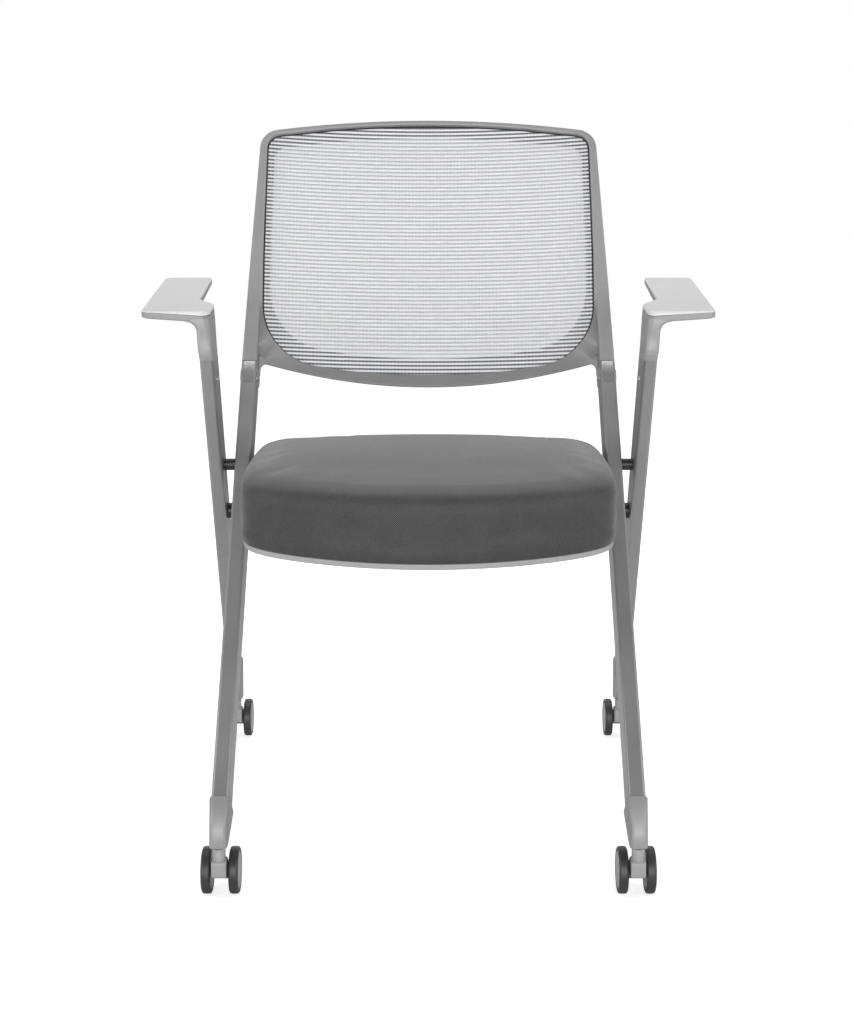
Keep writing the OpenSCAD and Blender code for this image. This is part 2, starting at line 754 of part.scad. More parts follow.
module back_screws() {
  color(screw_colour) for (side = ["left", "right"]) on_side(side) along_front()
    for (k = [1, 2])
      translate([0, front_leg_d / 2 + seat_gap, upright_s - k * plug_s * back_screw_drop_share])
        rotate([-90, 0, 0]) {
          cylinder(d = small_head_d, h = small_head_h, $fn = round_faces);
          translate([0, 0, -small_screw_len])
            cylinder(d = small_screw_d, h = small_screw_len, $fn = round_faces);
        }
}

// Seat, in the plane of its pan: x across, v to the rear, n upwards

module seat_place() {
  translate([0, seat_front_y, lip_z]) rotate([seat_rise, 0, 0]) children();
}

function power(c, p) = sign(c) * pow(abs(c), p);
// Point of the seat's plan at angle t, drawn in by inset
function plan(t, inset) = let (
    hx = cushion_w / 2 - inset, hv = seat_d / 2 - inset,
    x = hx * power(cos(t), 2 / plan_power), v = seat_d / 2 + hv * power(sin(t), 2 / plan_power),
    back = 1 - v / seat_d)
  [x, v + front_bow * pow(x / hx, 2) * back * back];
function plan_outline(inset) = [for (i = [0 : cushion_points - 1]) plan(360 * i / cushion_points, inset)];

// Height of the cushion's top above the pan's lower edge
function crest_fall(v) = v < crest_v ? front_drop * pow((crest_v - v) / crest_v, 2)
  : rear_drop * pow((v - crest_v) / (seat_d - crest_v), 2);
function top_n(x, v) = (crest_z - crest_fall(v) - side_drop * pow(abs(2 * x / cushion_w), side_power) - lip_z
  - v * sin(seat_rise)) / cos(seat_rise);

cushion_low = lip_h + skirt_gap;
board_top = pan_wall + board_t;
board_inset = pan_inset + pan_wall + board_gap;
// Shares of the side's height, and shares of the way from the shoulder to the middle
side_shares = [0, 0.12, 0.28, 0.45, 0.62, 0.78, 0.85, 0.91, 0.955, 0.985, 1];
top_shares = [0.08, 0.2, 0.38, 0.6, 0.82];
bulge_share = 0.45;
shoulder_share = 0.78;
function side_in(f) = f < bulge_share ? tuck * pow(1 - f / bulge_share, 2)
  : f < shoulder_share ? 0
  : shoulder * (1 - sqrt(max(0, 1 - pow((f - shoulder_share) / (1 - shoulder_share), 2))));
function side_ring(f) = [for (i = [0 : cushion_points - 1]) let (
    p = plan(360 * i / cushion_points, side_in(f)))
  [p[0], p[1], cushion_low + f * (top_n(p[0], p[1]) - cushion_low)]];
function top_ring(s) = [for (i = [0 : cushion_points - 1]) let (
    p = plan(360 * i / cushion_points, shoulder),
    x = p[0] * (1 - s), v = seat_d / 2 + (p[1] - seat_d / 2) * (1 - s))
  [x, v, top_n(x, v)]];
function flat_ring(inset, n) = [for (p = plan_outline(inset)) [p[0], p[1], n]];

module seat_cushion() {
  color(fabric_colour) seat_place() loft(concat(
    [flat_ring(board_inset - board_gap, board_top + skirt_gap),
     flat_ring(board_inset - board_gap, cushion_low)],
    [for (f = side_shares) side_ring(f)], [for (s = top_shares) top_ring(s)]));
}

module seat_board() {
  color([0.76, 0.64, 0.46]) seat_place() difference() {
    translate([0, 0, pan_wall]) linear_extrude(board_t) polygon(plan_outline(board_inset));
    screw_holes(seat_screw_d + 2 * run_gap, board_top + over);
  }
}

module seat_pan() {
  color(frame_colour) seat_place() difference() {
    linear_extrude(lip_h) polygon(plan_outline(pan_inset));
    translate([0, 0, pan_wall]) linear_extrude(lip_h) polygon(plan_outline(pan_inset + pan_wall));
    screw_holes(seat_screw_d + 2 * loose_gap, pan_wall + over);
  }
}

// Places of the eight seat screws
module screw_places() {
  for (sx = [-1, 1], dx = [-1, 1], dv = [-1, 1])
    translate([sx * bracket_x + dx * (flange_w / 2 - screw_inset),
      hinge_v + dv * (flange_l / 2 - screw_inset) - flange_back, 0]) children();
}

module screw_holes(d, top) {
  screw_places() translate([0, 0, -flange_t - over])
    cylinder(d = d, h = top + flange_t + over, $fn = round_faces);
}

module seat_bracket(side) {
  color(dark_steel) seat_place() on_side(side) difference() {
    union() {
      translate([bracket_x, hinge_v - flange_back, -flange_t / 2])
        cube([flange_w, flange_l, flange_t], center = true);
      translate([bracket_x, 0, 0]) rotate([90, 0, 90]) linear_extrude(bracket_w, center = true) {
        polygon([[hinge_v - ring_d / 2 - flange_back, -flange_t / 2], [hinge_v + ring_d / 2, -flange_t / 2],
          [hinge_v + ring_d / 2, hinge_n], [hinge_v - ring_d / 2, hinge_n]]);
        translate([hinge_v, hinge_n]) circle(d = ring_d, $fn = round_faces);
      }
    }
    translate([bracket_x, hinge_v, hinge_n]) rod(bushing_d + 2 * run_gap, bracket_w + over);
    screw_holes(seat_screw_d + 2 * loose_gap, over);
  }
}

module seat_bushings() {
  color(mesh_colour) seat_place() for (x = [-bracket_x, bracket_x])
    translate([x, hinge_v, hinge_n]) difference() {
      rod(bushing_d, bracket_w + flange_t);
      rod(cross_tube_d + 2 * run_gap, bracket_w + flange_t + over);
    }
}

module seat_bumpers() {
  color(tyre_colour) seat_place() for (x = [-bumper_x, bumper_x])
    translate([x, rest_bar_v, -bumper_h]) cylinder(d = bumper_d, h = bumper_h, $fn = round_faces);
}

module seat_screws() {
  color(screw_colour) seat_place() screw_places() {
    translate([0, 0, -flange_t - seat_screw_head_h])
      cylinder(d = seat_screw_head_d, h = seat_screw_head_h, $fn = round_faces);
    translate([0, 0, -flange_t]) cylinder(d = seat_screw_d, h = seat_screw_len, $fn = round_faces);
  }
}

front_leg("left");  // front_leg_left
front_leg("right");  // front_leg_right
rear_leg("left");  // rear_leg_left
rear_leg("right");  // rear_leg_right
crossing_spacers();
cross_tube();
seat_rest_bar();
frame_bolts();
front_shoe("left");  // front_shoe_left
front_shoe("right");  // front_shoe_right
rear_shoe("left");  // rear_shoe_left
rear_shoe("right");  // rear_shoe_right
caster_stems();
arm_neck("left");  // arm_neck_left
arm_neck("right");  // arm_neck_right
arm_pad("left");  // arm_pad_left
arm_pad("right");  // arm_pad_right
arm_screws();
back_collar("left");  // back_collar_left
back_collar("right");  // back_collar_right
back_frame();
back_rim();
back_mesh();
mesh_welt();
back_screws();
seat_cushion();
seat_board();
seat_pan();
seat_bracket("left");  // seat_bracket_left
seat_bracket("right");  // seat_bracket_right
seat_bushings();
seat_bumpers();
seat_screws();
caster_body(-front_half, front_stem_y);  // front_left_caster_body
caster_axle(-front_half, front_stem_y);  // front_left_axle
tyre(-front_half, front_stem_y, 1);  // front_left_inner_tyre
hub(-front_half, front_stem_y, 1);  // front_left_inner_hub
tyre(-front_half, front_stem_y, -1);  // front_left_outer_tyre
hub(-front_half, front_stem_y, -1);  // front_left_outer_hub
caster_body(front_half, front_stem_y);  // front_right_caster_body
caster_axle(front_half, front_stem_y);  // front_right_axle
tyre(front_half, front_stem_y, -1);  // front_right_inner_tyre
hub(front_half, front_stem_y, -1);  // front_right_inner_hub
tyre(front_half, front_stem_y, 1);  // front_right_outer_tyre
hub(front_half, front_stem_y, 1);  // front_right_outer_hub
caster_body(-rear_half, rear_stem_y);  // rear_left_caster_body
caster_axle(-rear_half, rear_stem_y);  // rear_left_axle
tyre(-rear_half, rear_stem_y, 1);  // rear_left_inner_tyre
hub(-rear_half, rear_stem_y, 1);  // rear_left_inner_hub
tyre(-rear_half, rear_stem_y, -1);  // rear_left_outer_tyre
hub(-rear_half, rear_stem_y, -1);  // rear_left_outer_hub
caster_body(rear_half, rear_stem_y);  // rear_right_caster_body
caster_axle(rear_half, rear_stem_y);  // rear_right_axle
tyre(rear_half, rear_stem_y, -1);  // rear_right_inner_tyre
hub(rear_half, rear_stem_y, -1);  // rear_right_inner_hub
tyre(rear_half, rear_stem_y, 1);  // rear_right_outer_tyre
hub(rear_half, rear_stem_y, 1);  // rear_right_outer_hub
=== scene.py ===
"""Nesting chair: the looks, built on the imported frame."""
import json
import math

import bpy
import bmesh
import mathutils.kdtree
import numpy as np
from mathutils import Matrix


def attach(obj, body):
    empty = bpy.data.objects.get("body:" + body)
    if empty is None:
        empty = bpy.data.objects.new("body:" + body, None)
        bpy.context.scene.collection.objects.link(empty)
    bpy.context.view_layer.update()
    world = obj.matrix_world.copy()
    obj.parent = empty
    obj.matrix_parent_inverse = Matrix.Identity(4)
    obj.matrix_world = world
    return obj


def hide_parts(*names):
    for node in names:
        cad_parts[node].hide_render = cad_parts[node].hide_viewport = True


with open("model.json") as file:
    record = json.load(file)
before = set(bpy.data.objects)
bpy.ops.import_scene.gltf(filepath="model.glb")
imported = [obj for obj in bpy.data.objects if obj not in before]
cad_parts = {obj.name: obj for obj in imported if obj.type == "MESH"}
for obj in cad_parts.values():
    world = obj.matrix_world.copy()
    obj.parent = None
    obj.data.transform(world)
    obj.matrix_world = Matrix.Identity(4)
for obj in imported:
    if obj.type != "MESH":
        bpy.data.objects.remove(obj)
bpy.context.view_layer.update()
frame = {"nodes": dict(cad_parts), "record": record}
scene = bpy.context.scene
MM = 0.001

# Values of the source, in millimetres and degrees
FRONT_HALF, FRONT_W, FRONT_D, FRONT_LEAN, CORNER = 229.5, 19.0, 44.0, 42.7, 3.5
REAR_HALF, REAR_W, REAR_D, TOE = 271.0, 16.5, 42.0, 1.4
UPRIGHT_Z, BEND_Z, NECK_Z, CROSS_Z, SHOE_Z = 511.0, 86.0, 570.0, 429.0, 60.0
CROSS_TUBE_Z, ARM_SCREW_Z, FRONT_SHOE_LEN, REAR_SHOE_LEN, SHOE_D = 362.5, 544.0, 50.0, 26.0, 20.0
SHOE_WALL, COLLAR_LEN, BOOT_DROP, BACK_FORWARD = 2.0, 33.5, 15.5, 10.0
FRONT_STEM_Y, REAR_STEM_Y = -298.0, 264.0
CROSS_Y = FRONT_STEM_Y + (CROSS_Z - SHOE_Z) * math.tan(math.radians(FRONT_LEAN))
REAR_SLOPE = (REAR_STEM_Y - CROSS_Y) / (CROSS_Z - BEND_Z)
REAR_LEAN = math.degrees(math.atan(REAR_SLOPE))
UPRIGHT_S = (UPRIGHT_Z - SHOE_Z) / math.cos(math.radians(FRONT_LEAN))
COLLAR_S = UPRIGHT_S + COLLAR_LEN
BOOT_S = COLLAR_S + BOOT_DROP
BACK_LEAN, BACK_R, BACK_H = 20.0, 1000.0, 335.0
FOOT_HALF, FOOT_IN, TOP_HALF, OPEN_HALF = 239.0, 219.0, 219.5, 215.0
TOP_RAIL, BOTTOM_RAIL, BOTTOM_FALL = 6.0, 13.0, 26.0
TOP_ARC_R, BOTTOM_ARC_R, OPENING_ARC_R, TOP_CORNER_R, FOOT_H = 970.0, 880.0, 1300.0, 28, 13
BACK_Y = FRONT_STEM_Y + BOOT_S * math.sin(math.radians(FRONT_LEAN)) - BACK_FORWARD
BACK_Z = SHOE_Z + BOOT_S * math.cos(math.radians(FRONT_LEAN))
DROP = math.sqrt(BACK_R ** 2 - FRONT_HALF ** 2)
FACE_T, REAR_T, GROOVE_T, GROOVE_W = -10.0, 8.0, -1.4, 4.0
SEAT_Y, SEAT_Z, SEAT_RISE, SEAT_D, CUSHION_W = -283.0, 365.0, 5.0, 416.0, 427.0
CREST_Z, CREST_V, FRONT_DROP, REAR_DROP, SIDE_DROP = 468, 185, 16, 14, 7
FRONT_BOW, PLAN_POWER, TUCK, COVER_N, SIDE_ROLL, FRONT_ROLL_MORE = 66.0, 10, 3.0, 7.35, 17, 9
ARM_Y, ARM_LEN, ARM_W, ARM_OUTER, ARM_T, ARM_Z = -72.0, 245.0, 60.0, 334.5, 9.0, 628.0
ARM_RISE, ARM_SPLAY, NECK_STEP, NECK_IN = 6.1, 1.3, 65.0, 255.5
WHEEL_R, WHEEL_W, TRAIL, BODY_W, WHEEL_GAP = 26.0, 10.5, 18.0, 16.5, 1.75
SIDES = (("left", -1), ("right", 1))


def smooth(a, b, x):
    t = np.clip((np.asarray(x, float) - a) / (b - a), 0, 1)
    return t * t * (3 - 2 * t)


# Places of the parts, each from its own coordinates to the chair's

def along_front(p):
    """Point of a front leg: across, behind its middle line, up along its lean."""
    p = np.asarray(p, float)
    c, s = math.cos(math.radians(FRONT_LEAN)), math.sin(math.radians(FRONT_LEAN))
    return np.stack([FRONT_HALF + p[..., 0], FRONT_STEM_Y + p[..., 1] * c + p[..., 2] * s,
                     SHOE_Z - p[..., 1] * s + p[..., 2] * c], -1)


def along_rear(p):
    """Point of a rear leg above its bend: across, behind its middle line, up along its lean."""
    p = np.asarray(p, float)
    c, s = math.cos(math.radians(REAR_LEAN)), math.sin(math.radians(REAR_LEAN))
    ct, st = math.cos(math.radians(TOE)), math.sin(math.radians(TOE))
    y, z = p[..., 1] * c - p[..., 2] * s, p[..., 1] * s + p[..., 2] * c
    return np.stack([REAR_HALF + p[..., 0] * ct - z * st, REAR_STEM_Y + y,
                     BEND_Z + p[..., 0] * st + z * ct], -1)


def on_back(x, t, h):
    """Point of the back: x across, t behind its middle surface, h up along its lean."""
    x, t, h = np.broadcast_arrays(*(np.asarray(a, float) for a in (x, t, h)))
    y = np.sqrt((BACK_R + t) ** 2 - x ** 2) - DROP
    c, s = math.cos(math.radians(BACK_LEAN)), math.sin(math.radians(BACK_LEAN))
    return np.stack([x, BACK_Y + y * c + h * s, BACK_Z - y * s + h * c], -1)


def on_seat(x, v, n):
    """Point of the seat: x across, v back from its front edge, n up from the pan's lower plane."""
    x, v, n = np.broadcast_arrays(*(np.asarray(a, float) for a in (x, v, n)))
    c, s = math.cos(math.radians(SEAT_RISE)), math.sin(math.radians(SEAT_RISE))
    return np.stack([x, SEAT_Y + v * c - n * s, SEAT_Z + v * s + n * c], -1)


def rear_x(z):
    return REAR_HALF - (z - BEND_Z) * math.tan(math.radians(TOE))


def rear_y(z):
    return CROSS_Y + (CROSS_Z - z) * REAR_SLOPE


# Outlines and meshes

def rounded(points, steps=8):
    """Outline from corners (x, y, radius)."""
    out, n = [], len(points)
    for i, (x, y, r) in enumerate(points):
        b = np.array([x, y], float)
        if r <= 0:
            out.append(b)
            continue
        u = np.array(points[i - 1][:2], float) - b
        v = np.array(points[(i + 1) % n][:2], float) - b
        u, v = u / np.linalg.norm(u), v / np.linalg.norm(v)
        half = math.acos(float(np.clip(u @ v, -1, 1))) / 2
        mid = (u + v) / np.linalg.norm(u + v)
        ctr = b + mid * r / math.sin(half)
        s, e = b + u * r / math.tan(half) - ctr, b + v * r / math.tan(half) - ctr
        a0 = math.atan2(s[1], s[0])
        da = (math.atan2(e[1], e[0]) - a0 + math.pi) % (2 * math.pi) - math.pi
        out += [ctr + r * np.array([math.cos(a0 + da * k / steps), math.sin(a0 + da * k / steps)])
                for k in range(steps + 1)]
    return np.array(out)


def bow(x0, x1, h, r, way, steps=24):
    """Corners along an arc of radius r whose middle is at height h."""
    return [(x, h - way * (r - math.sqrt(r * r - x * x)), 0) for x in np.linspace(x0, x1, steps + 1)]


def rect(w, d, r, steps=6):
    return rounded([(w / 2, -d / 2, r), (w / 2, d / 2, r), (-w / 2, d / 2, r), (-w / 2, -d / 2, r)], steps)


def inset(outline, d):
    """The closed outline drawn in by d, which may differ from point to point."""
    p = np.asarray(outline, float)
    run = np.roll(p, -1, 0) - np.roll(p, 1, 0)
    run /= np.linalg.norm(run, axis=1, keepdims=True)
    area = np.sum(p[:, 0] * np.roll(p[:, 1], -1) - np.roll(p[:, 0], -1) * p[:, 1])
    normal = np.stack([-run[:, 1], run[:, 0]], 1) * np.sign(area)
    return p + normal * np.broadcast_to(np.asarray(d, float), (len(p),))[:, None]


def lift(outline, third):
    """Points (x, y) with a third coordinate."""
    p = np.asarray(outline, float)
    return np.column_stack([p, np.broadcast_to(np.asarray(third, float), (len(p),))])


def loft(rings, closed=False):
    """Solid through rings of as many points each: capped at both ends, or closed to a loop."""
    rings = np.asarray(rings, float)
    m, n = rings.shape[:2]
    faces = [(k * n + i, k * n + (i + 1) % n, (k + 1) % m * n + (i + 1) % n, (k + 1) % m * n + i)
             for k in range(m if closed else m - 1) for i in range(n)]
    if not closed:
        faces += [tuple(range(n)), tuple(range((m - 1) * n, m * n))]
    return rings.reshape(-1, 3), faces


def join(*parts):
    verts, faces, at = [], [], 0
    for v, f in parts:
        verts.append(v)
        faces += [tuple(i + at for i in face) for face in f]
        at += len(v)
    return np.concatenate(verts), faces


def shell(outline, place, heights, draws):
    """Closed solid from one outline at several heights, drawn in by a length at each."""
    return loft([place(lift(inset(outline, d), z)) for z, d in zip(heights, draws)])


def rounded_edges(low, high, r_low, r_high, steps=5):
    """Heights and draws of a slab with rounded lower and upper edges."""
    q = np.linspace(0, math.pi / 2, steps + 1)
    heights = [low + r_low * (1 - math.sin(a)) for a in q[::-1]]
    heights += [high - r_high * (1 - math.sin(a)) for a in q]
    draws = [r_low * (1 - math.cos(a)) for a in q[::-1]] + [r_high * (1 - math.cos(a)) for a in q]
    return heights, draws


def lathe(profile, steps=64):
    """Turned solid: profile of (radius, height) points, closed at the axis or a ring."""
    a = np.linspace(0, 2 * math.pi, steps, endpoint=False)
    return loft([np.stack([r * np.cos(a), r * np.sin(a), np.full_like(a, z)], -1) for r, z in profile],
                closed=profile[0][0] > 0.01 and profile[-1][0] > 0.01)


def add(name, part, body, material, nodes=(), sign=1, angle=38.0):
    """One piece of the chair; sign -1 mirrors it to the left side."""
    verts, faces = part
    data = bpy.data.meshes.new(name)
    data.from_pydata((np.asarray(verts, float) * [sign * MM, MM, MM]).tolist(), [], faces)
    bm = bmesh.new()
    bm.from_mesh(data)
    bmesh.ops.remove_doubles(bm, verts=bm.verts, dist=1e-6)
    bmesh.ops.recalc_face_normals(bm, faces=bm.faces)
    bm.to_mesh(data)
    bm.free()
    data.shade_smooth()
    data.set_sharp_from_angle(angle=math.radians(angle))
    data.materials.append(material)
    obj = bpy.data.objects.new(name, data)
    scene.collection.objects.link(obj)
    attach(obj, body)
    if nodes:
        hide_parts(*nodes)
    return obj


# Materials

def start(name):
    mat = bpy.data.materials.new(name)
    mat.use_nodes = True
    tree = mat.node_tree
    return mat, tree, tree.nodes["Principled BSDF"], tree.nodes.new("ShaderNodeTexCoord")


def noise(tree, coords, scale, detail=3.0, rough=0.5, stretch=None):
    node = tree.nodes.new("ShaderNodeTexNoise")
    node.inputs["Scale"].default_value = scale
    node.inputs["Detail"].default_value = detail
    node.inputs["Roughness"].default_value = rough
    if stretch:
        mapping = tree.nodes.new("ShaderNodeMapping")
        mapping.inputs["Scale"].default_value = stretch
        tree.links.new(coords, mapping.inputs["Vector"])
        coords = mapping.outputs["Vector"]
    tree.links.new(coords, node.inputs["Vector"])
    return node.outputs["Fac"]


def ramp(tree, value, low, high, out_low, out_high):
    node = tree.nodes.new("ShaderNodeMapRange")
    node.interpolation_type = "SMOOTHSTEP"
    for key, number in (("From Min", low), ("From Max", high), ("To Min", out_low), ("To Max", out_high)):
        node.inputs[key].default_value = number
    tree.links.new(value, node.inputs["Value"])
    return node.outputs["Result"]


def calc(tree, kind, a, b=0.0):
    node = tree.nodes.new("ShaderNodeMath")
    node.operation = kind
    for socket, value in zip(node.inputs, (a, b)):
        if isinstance(value, (int, float)):
            socket.default_value = value
        else:
            tree.links.new(value, socket)
    return node.outputs["Value"]


def coloured(tree, shader, value, low, high, one, two):
    """Base colour from one to two as the value goes from low to high."""
    node = tree.nodes.new("ShaderNodeMix")
    node.data_type = "RGBA"
    tree.links.new(ramp(tree, value, low, high, 0, 1), node.inputs["Factor"])
    node.inputs[6].default_value = (*one, 1)
    node.inputs[7].default_value = (*two, 1)
    tree.links.new(node.outputs[2], shader.inputs["Base Color"])


def bump(tree, shader, height, distance, strength=1.0):
    node = tree.nodes.new("ShaderNodeBump")
    node.inputs["Distance"].default_value = distance
    node.inputs["Strength"].default_value = strength
    tree.links.new(height, node.inputs["Height"])
    tree.links.new(node.outputs["Normal"], shader.inputs["Normal"])


def grained(name, colour, rough, metal, grain, depth, vary=0.05, stretch=None):
    """Painted, moulded or plated surface: fine grain, faint cloudiness and uneven gloss."""
    mat, tree, shader, coords = start(name)
    at = coords.outputs["Object"]
    fine = noise(tree, at, grain, 3.0, 0.6, stretch)
    cloud = noise(tree, at, 9.0, 4.0, 0.6)
    speck = noise(tree, at, grain * 0.45, 2.0, 0.7)
    both = calc(tree, "ADD", calc(tree, "MULTIPLY", cloud, 0.65), calc(tree, "MULTIPLY", speck, 0.35))
    dark = tuple(c * (1 - vary) for c in colour)
    light = tuple(min(1.0, c * (1 + vary)) for c in colour)
    coloured(tree, shader, both, 0.32, 0.68, dark, light)
    tree.links.new(ramp(tree, cloud, 0.3, 0.7, rough - 0.04, rough + 0.05), shader.inputs["Roughness"])
    shader.inputs["Metallic"].default_value = metal
    bump(tree, shader, fine, depth)
    return mat


def woven(name):
    """Upholstery: a fine diagonal twill in the plane that the surface faces, with soft sheen, and a painted
    highlight over the roll.
    """
    threads = 2800.0
    mat, tree, shader, coords = start(name)
    split = tree.nodes.new("ShaderNodeSeparateXYZ")
    tree.links.new(coords.outputs["Object"], split.inputs[0])
    facing = tree.nodes.new("ShaderNodeSeparateXYZ")
    tree.links.new(coords.outputs["Normal"], facing.inputs[0])
    x, y, z = split.outputs
    weights = [calc(tree, "POWER", calc(tree, "ABSOLUTE", f), 6.0) for f in facing.outputs]
    total = calc(tree, "ADD", calc(tree, "ADD", weights[0], weights[1]), weights[2])
    height = None
    for (a, b), weight in zip(((y, z), (x, z), (x, y)), weights):
        one = calc(tree, "SINE", calc(tree, "MULTIPLY", calc(tree, "ADD", a, b), threads))
        two = calc(tree, "SINE", calc(tree, "MULTIPLY", calc(tree, "SUBTRACT", a, b), threads))
        cloth = calc(tree, "ADD", calc(tree, "MULTIPLY", one, 0.3), calc(tree, "MULTIPLY", two, 0.2))
        part = calc(tree, "MULTIPLY", cloth, calc(tree, "DIVIDE", weight, total))
        height = part if height is None else calc(tree, "ADD", height, part)
    yarn = noise(tree, coords.outputs["Object"], 1100.0, 2.0, 0.6)
    shade = noise(tree, coords.outputs["Object"], 22.0, 4.0, 0.65)
    tone = calc(tree, "ADD", calc(tree, "MULTIPLY", height, 1.1), 0.5)
    for cloud, share in ((yarn, 0.9), (shade, 0.35)):
        tone = calc(tree, "ADD", tone, calc(tree, "MULTIPLY", calc(tree, "SUBTRACT", cloud, 0.5), share))
    # Painted highlight over the roll: the cloth's colour is made lighter where its surface turns from the
    # sides to the top, and less so on the flat top
    up = facing.outputs["Z"]
    painted_roll_highlight = calc(tree, "MULTIPLY", ramp(tree, up, 0.45, 0.92, 0, 1.0), ramp(tree, up, 0.985, 1.0, 1, 0.2))
    tone = calc(tree, "ADD", tone, painted_roll_highlight)
    coloured(tree, shader, tone, 0.1, 1.5, (0.012, 0.012, 0.013), (0.12, 0.12, 0.122))
    shader.inputs["Roughness"].default_value = 0.6
    shader.inputs["Specular IOR Level"].default_value = 0.5
    shader.inputs["Sheen Weight"].default_value = 0.35
    shader.inputs["Sheen Roughness"].default_value = 0.4
    shader.inputs["Sheen Tint"].default_value = (0.9, 0.9, 0.92, 1)
    bump(tree, shader, calc(tree, "ADD", height, calc(tree, "MULTIPLY", yarn, 0.5)), 0.00022, 0.8)
    return mat


def netting(name, colour, cover, scale):
    """Thread of the net: pale, slightly fuzzy, and letting part of the light from behind through."""
    mat, tree, shader, coords = start(name)
    twist = noise(tree, coords.outputs["Object"], scale, 2.0, 0.6, (0.4, 1.0, 1.0))
    coloured(tree, shader, twist, 0.3, 0.7, tuple(c * 0.94 for c in colour), colour)
    shader.inputs["Roughness"].default_value = 0.7
    shader.inputs["Specular IOR Level"].default_value = 0.3
    shader.inputs["Alpha"].default_value = cover
    bump(tree, shader, twist, 0.0001)
    return mat


def plywood(name):
    """Birch board: pale fibres along the seat's width."""
    mat, tree, shader, coords = start(name)
    fibre = noise(tree, coords.outputs["Object"], 60.0, 5.0, 0.6, (1.0, 14.0, 20.0))
    coloured(tree, shader, fibre, 0.3, 0.7, (0.42, 0.27, 0.14), (0.62, 0.45, 0.27))
    shader.inputs["Roughness"].default_value = 0.7
    bump(tree, shader, fibre, 0.0001)
    return mat


# Colour, roughness, metal, grain and its depth in metres, and where they differ the variation and stretch
GRAINED = {
    "frame_paint": ((0.37, 0.37, 0.372), 0.36, 0.6, 1500.0, 0.00004),
    "dark_steel": ((0.022, 0.022, 0.024), 0.36, 0.0, 1200.0, 0.00003),
    "zinc_screws": ((0.55, 0.55, 0.56), 0.3, 1.0, 2500.0, 0.00001, 0.08),
    "grey_plastic": ((0.34, 0.34, 0.342), 0.46, 0.15, 1600.0, 0.00004),
    "pad_plastic": ((0.8, 0.8, 0.802), 0.5, 0.0, 2200.0, 0.00006),
    "pan_plastic": ((0.36, 0.36, 0.36), 0.5, 0.0, 1800.0, 0.00003),
    "dark_rubber": ((0.012, 0.012, 0.012), 0.6, 0.0, 1500.0, 0.00004, 0.2),
    "nylon": ((0.7, 0.7, 0.66), 0.45, 0.0, 900.0, 0.00002),
    "caster_plastic": ((0.34, 0.34, 0.342), 0.4, 0.0, 1600.0, 0.00003),
    "axle_steel": ((0.5, 0.5, 0.5), 0.28, 1.0, 600.0, 0.00001, 0.06, (1.0, 8.0, 8.0)),
    "tyre_rubber": ((0.035, 0.035, 0.035), 0.42, 0.0, 1100.0, 0.00005, 0.18),
    "hub_plastic": ((0.42, 0.42, 0.42), 0.42, 0.0, 1600.0, 0.00003),
}
LOOKS = {name: grained(name, *values) for name, values in GRAINED.items()}
LOOKS["seat_fabric"] = woven("seat_fabric")
LOOKS["mesh_fabric"] = netting("mesh_fabric", (0.93, 0.935, 0.965), 1.0, 1500.0)
LOOKS["plywood"] = plywood("plywood")
for part in frame["record"]["subparts"]:
    node = frame["nodes"][part["node"]]
    node.data.materials.clear()
    node.data.materials.append(LOOKS[part["material_slot"]])


def piece(name, part, body, slot, nodes=(), sign=1, angle=38.0):
    """A piece with the look of its own slot."""
    return add(name, part, body, LOOKS[slot], nodes, sign, angle)


# Back: front ring, boots, rear rim, welt and net

def opening(side_in, top_in, low_in):
    """Outline of the back's opening, drawn in by a length at the sides, the top and the bottom."""
    # The top arc stops short of the upper corners, and the sides spread to their widest height
    run, taper, upper_r, side_r = 80, 3.5, 20, 80
    top, low = BACK_H - TOP_RAIL - top_in, -BOTTOM_FALL + BOTTOM_RAIL + low_in
    wide = OPEN_HALF - side_in
    narrow, widest = wide - taper, low + 160
    top_r = TOP_ARC_R - TOP_RAIL
    corner = top - (top_r - math.sqrt(top_r * top_r - narrow * narrow))
    end, low_corner = wide - 1.4 * side_r, low + 18
    right = [(narrow, corner, upper_r), (wide, widest, 0), (wide, low_corner, side_r)]
    return rounded(bow(-narrow + run, narrow - run, top, top_r, 1) + right
                   + bow(end, -end, low, OPENING_ARC_R, -1)
                   + [(-x, h, r) for x, h, r in right[::-1]], 14)


def back_outline():
    edge = BACK_H - (TOP_ARC_R - math.sqrt(TOP_ARC_R ** 2 - TOP_HALF ** 2))
    reach, end = TOP_HALF - TOP_CORNER_R, 216.8
    right = [(TOP_HALF, edge, TOP_CORNER_R), (FOOT_HALF, FOOT_H, 0), (FOOT_IN, FOOT_H, 0)]
    return rounded(bow(-reach, reach, BACK_H, TOP_ARC_R, 1) + right
                   + bow(end, -end, -BOTTOM_FALL, BOTTOM_ARC_R, -1)
                   + [(-x, h, r) for x, h, r in right[::-1]], 14)


def cast(outline, angles):
    """Where rays from the middle of the back meet an outline."""
    centre = [0, 150.0]
    a = outline - centre
    b = np.roll(a, -1, 0)
    out = []
    for phi in angles:
        d = np.array([math.cos(phi), math.sin(phi)])
        e = b - a
        cross = d[0] * e[:, 1] - d[1] * e[:, 0]
        with np.errstate(divide="ignore", invalid="ignore"):
            far = (a[:, 0] * e[:, 1] - a[:, 1] * e[:, 0]) / cross
            share = (a[:, 0] * d[1] - a[:, 1] * d[0]) / cross
        ok = (far > 0) & (share > -1e-9) & (share < 1 + 1e-9)
        out.append(d * far[ok].max() + centre)
    return np.array(out)


ANGLES = np.radians(np.linspace(-90, 270, 720, endpoint=False))


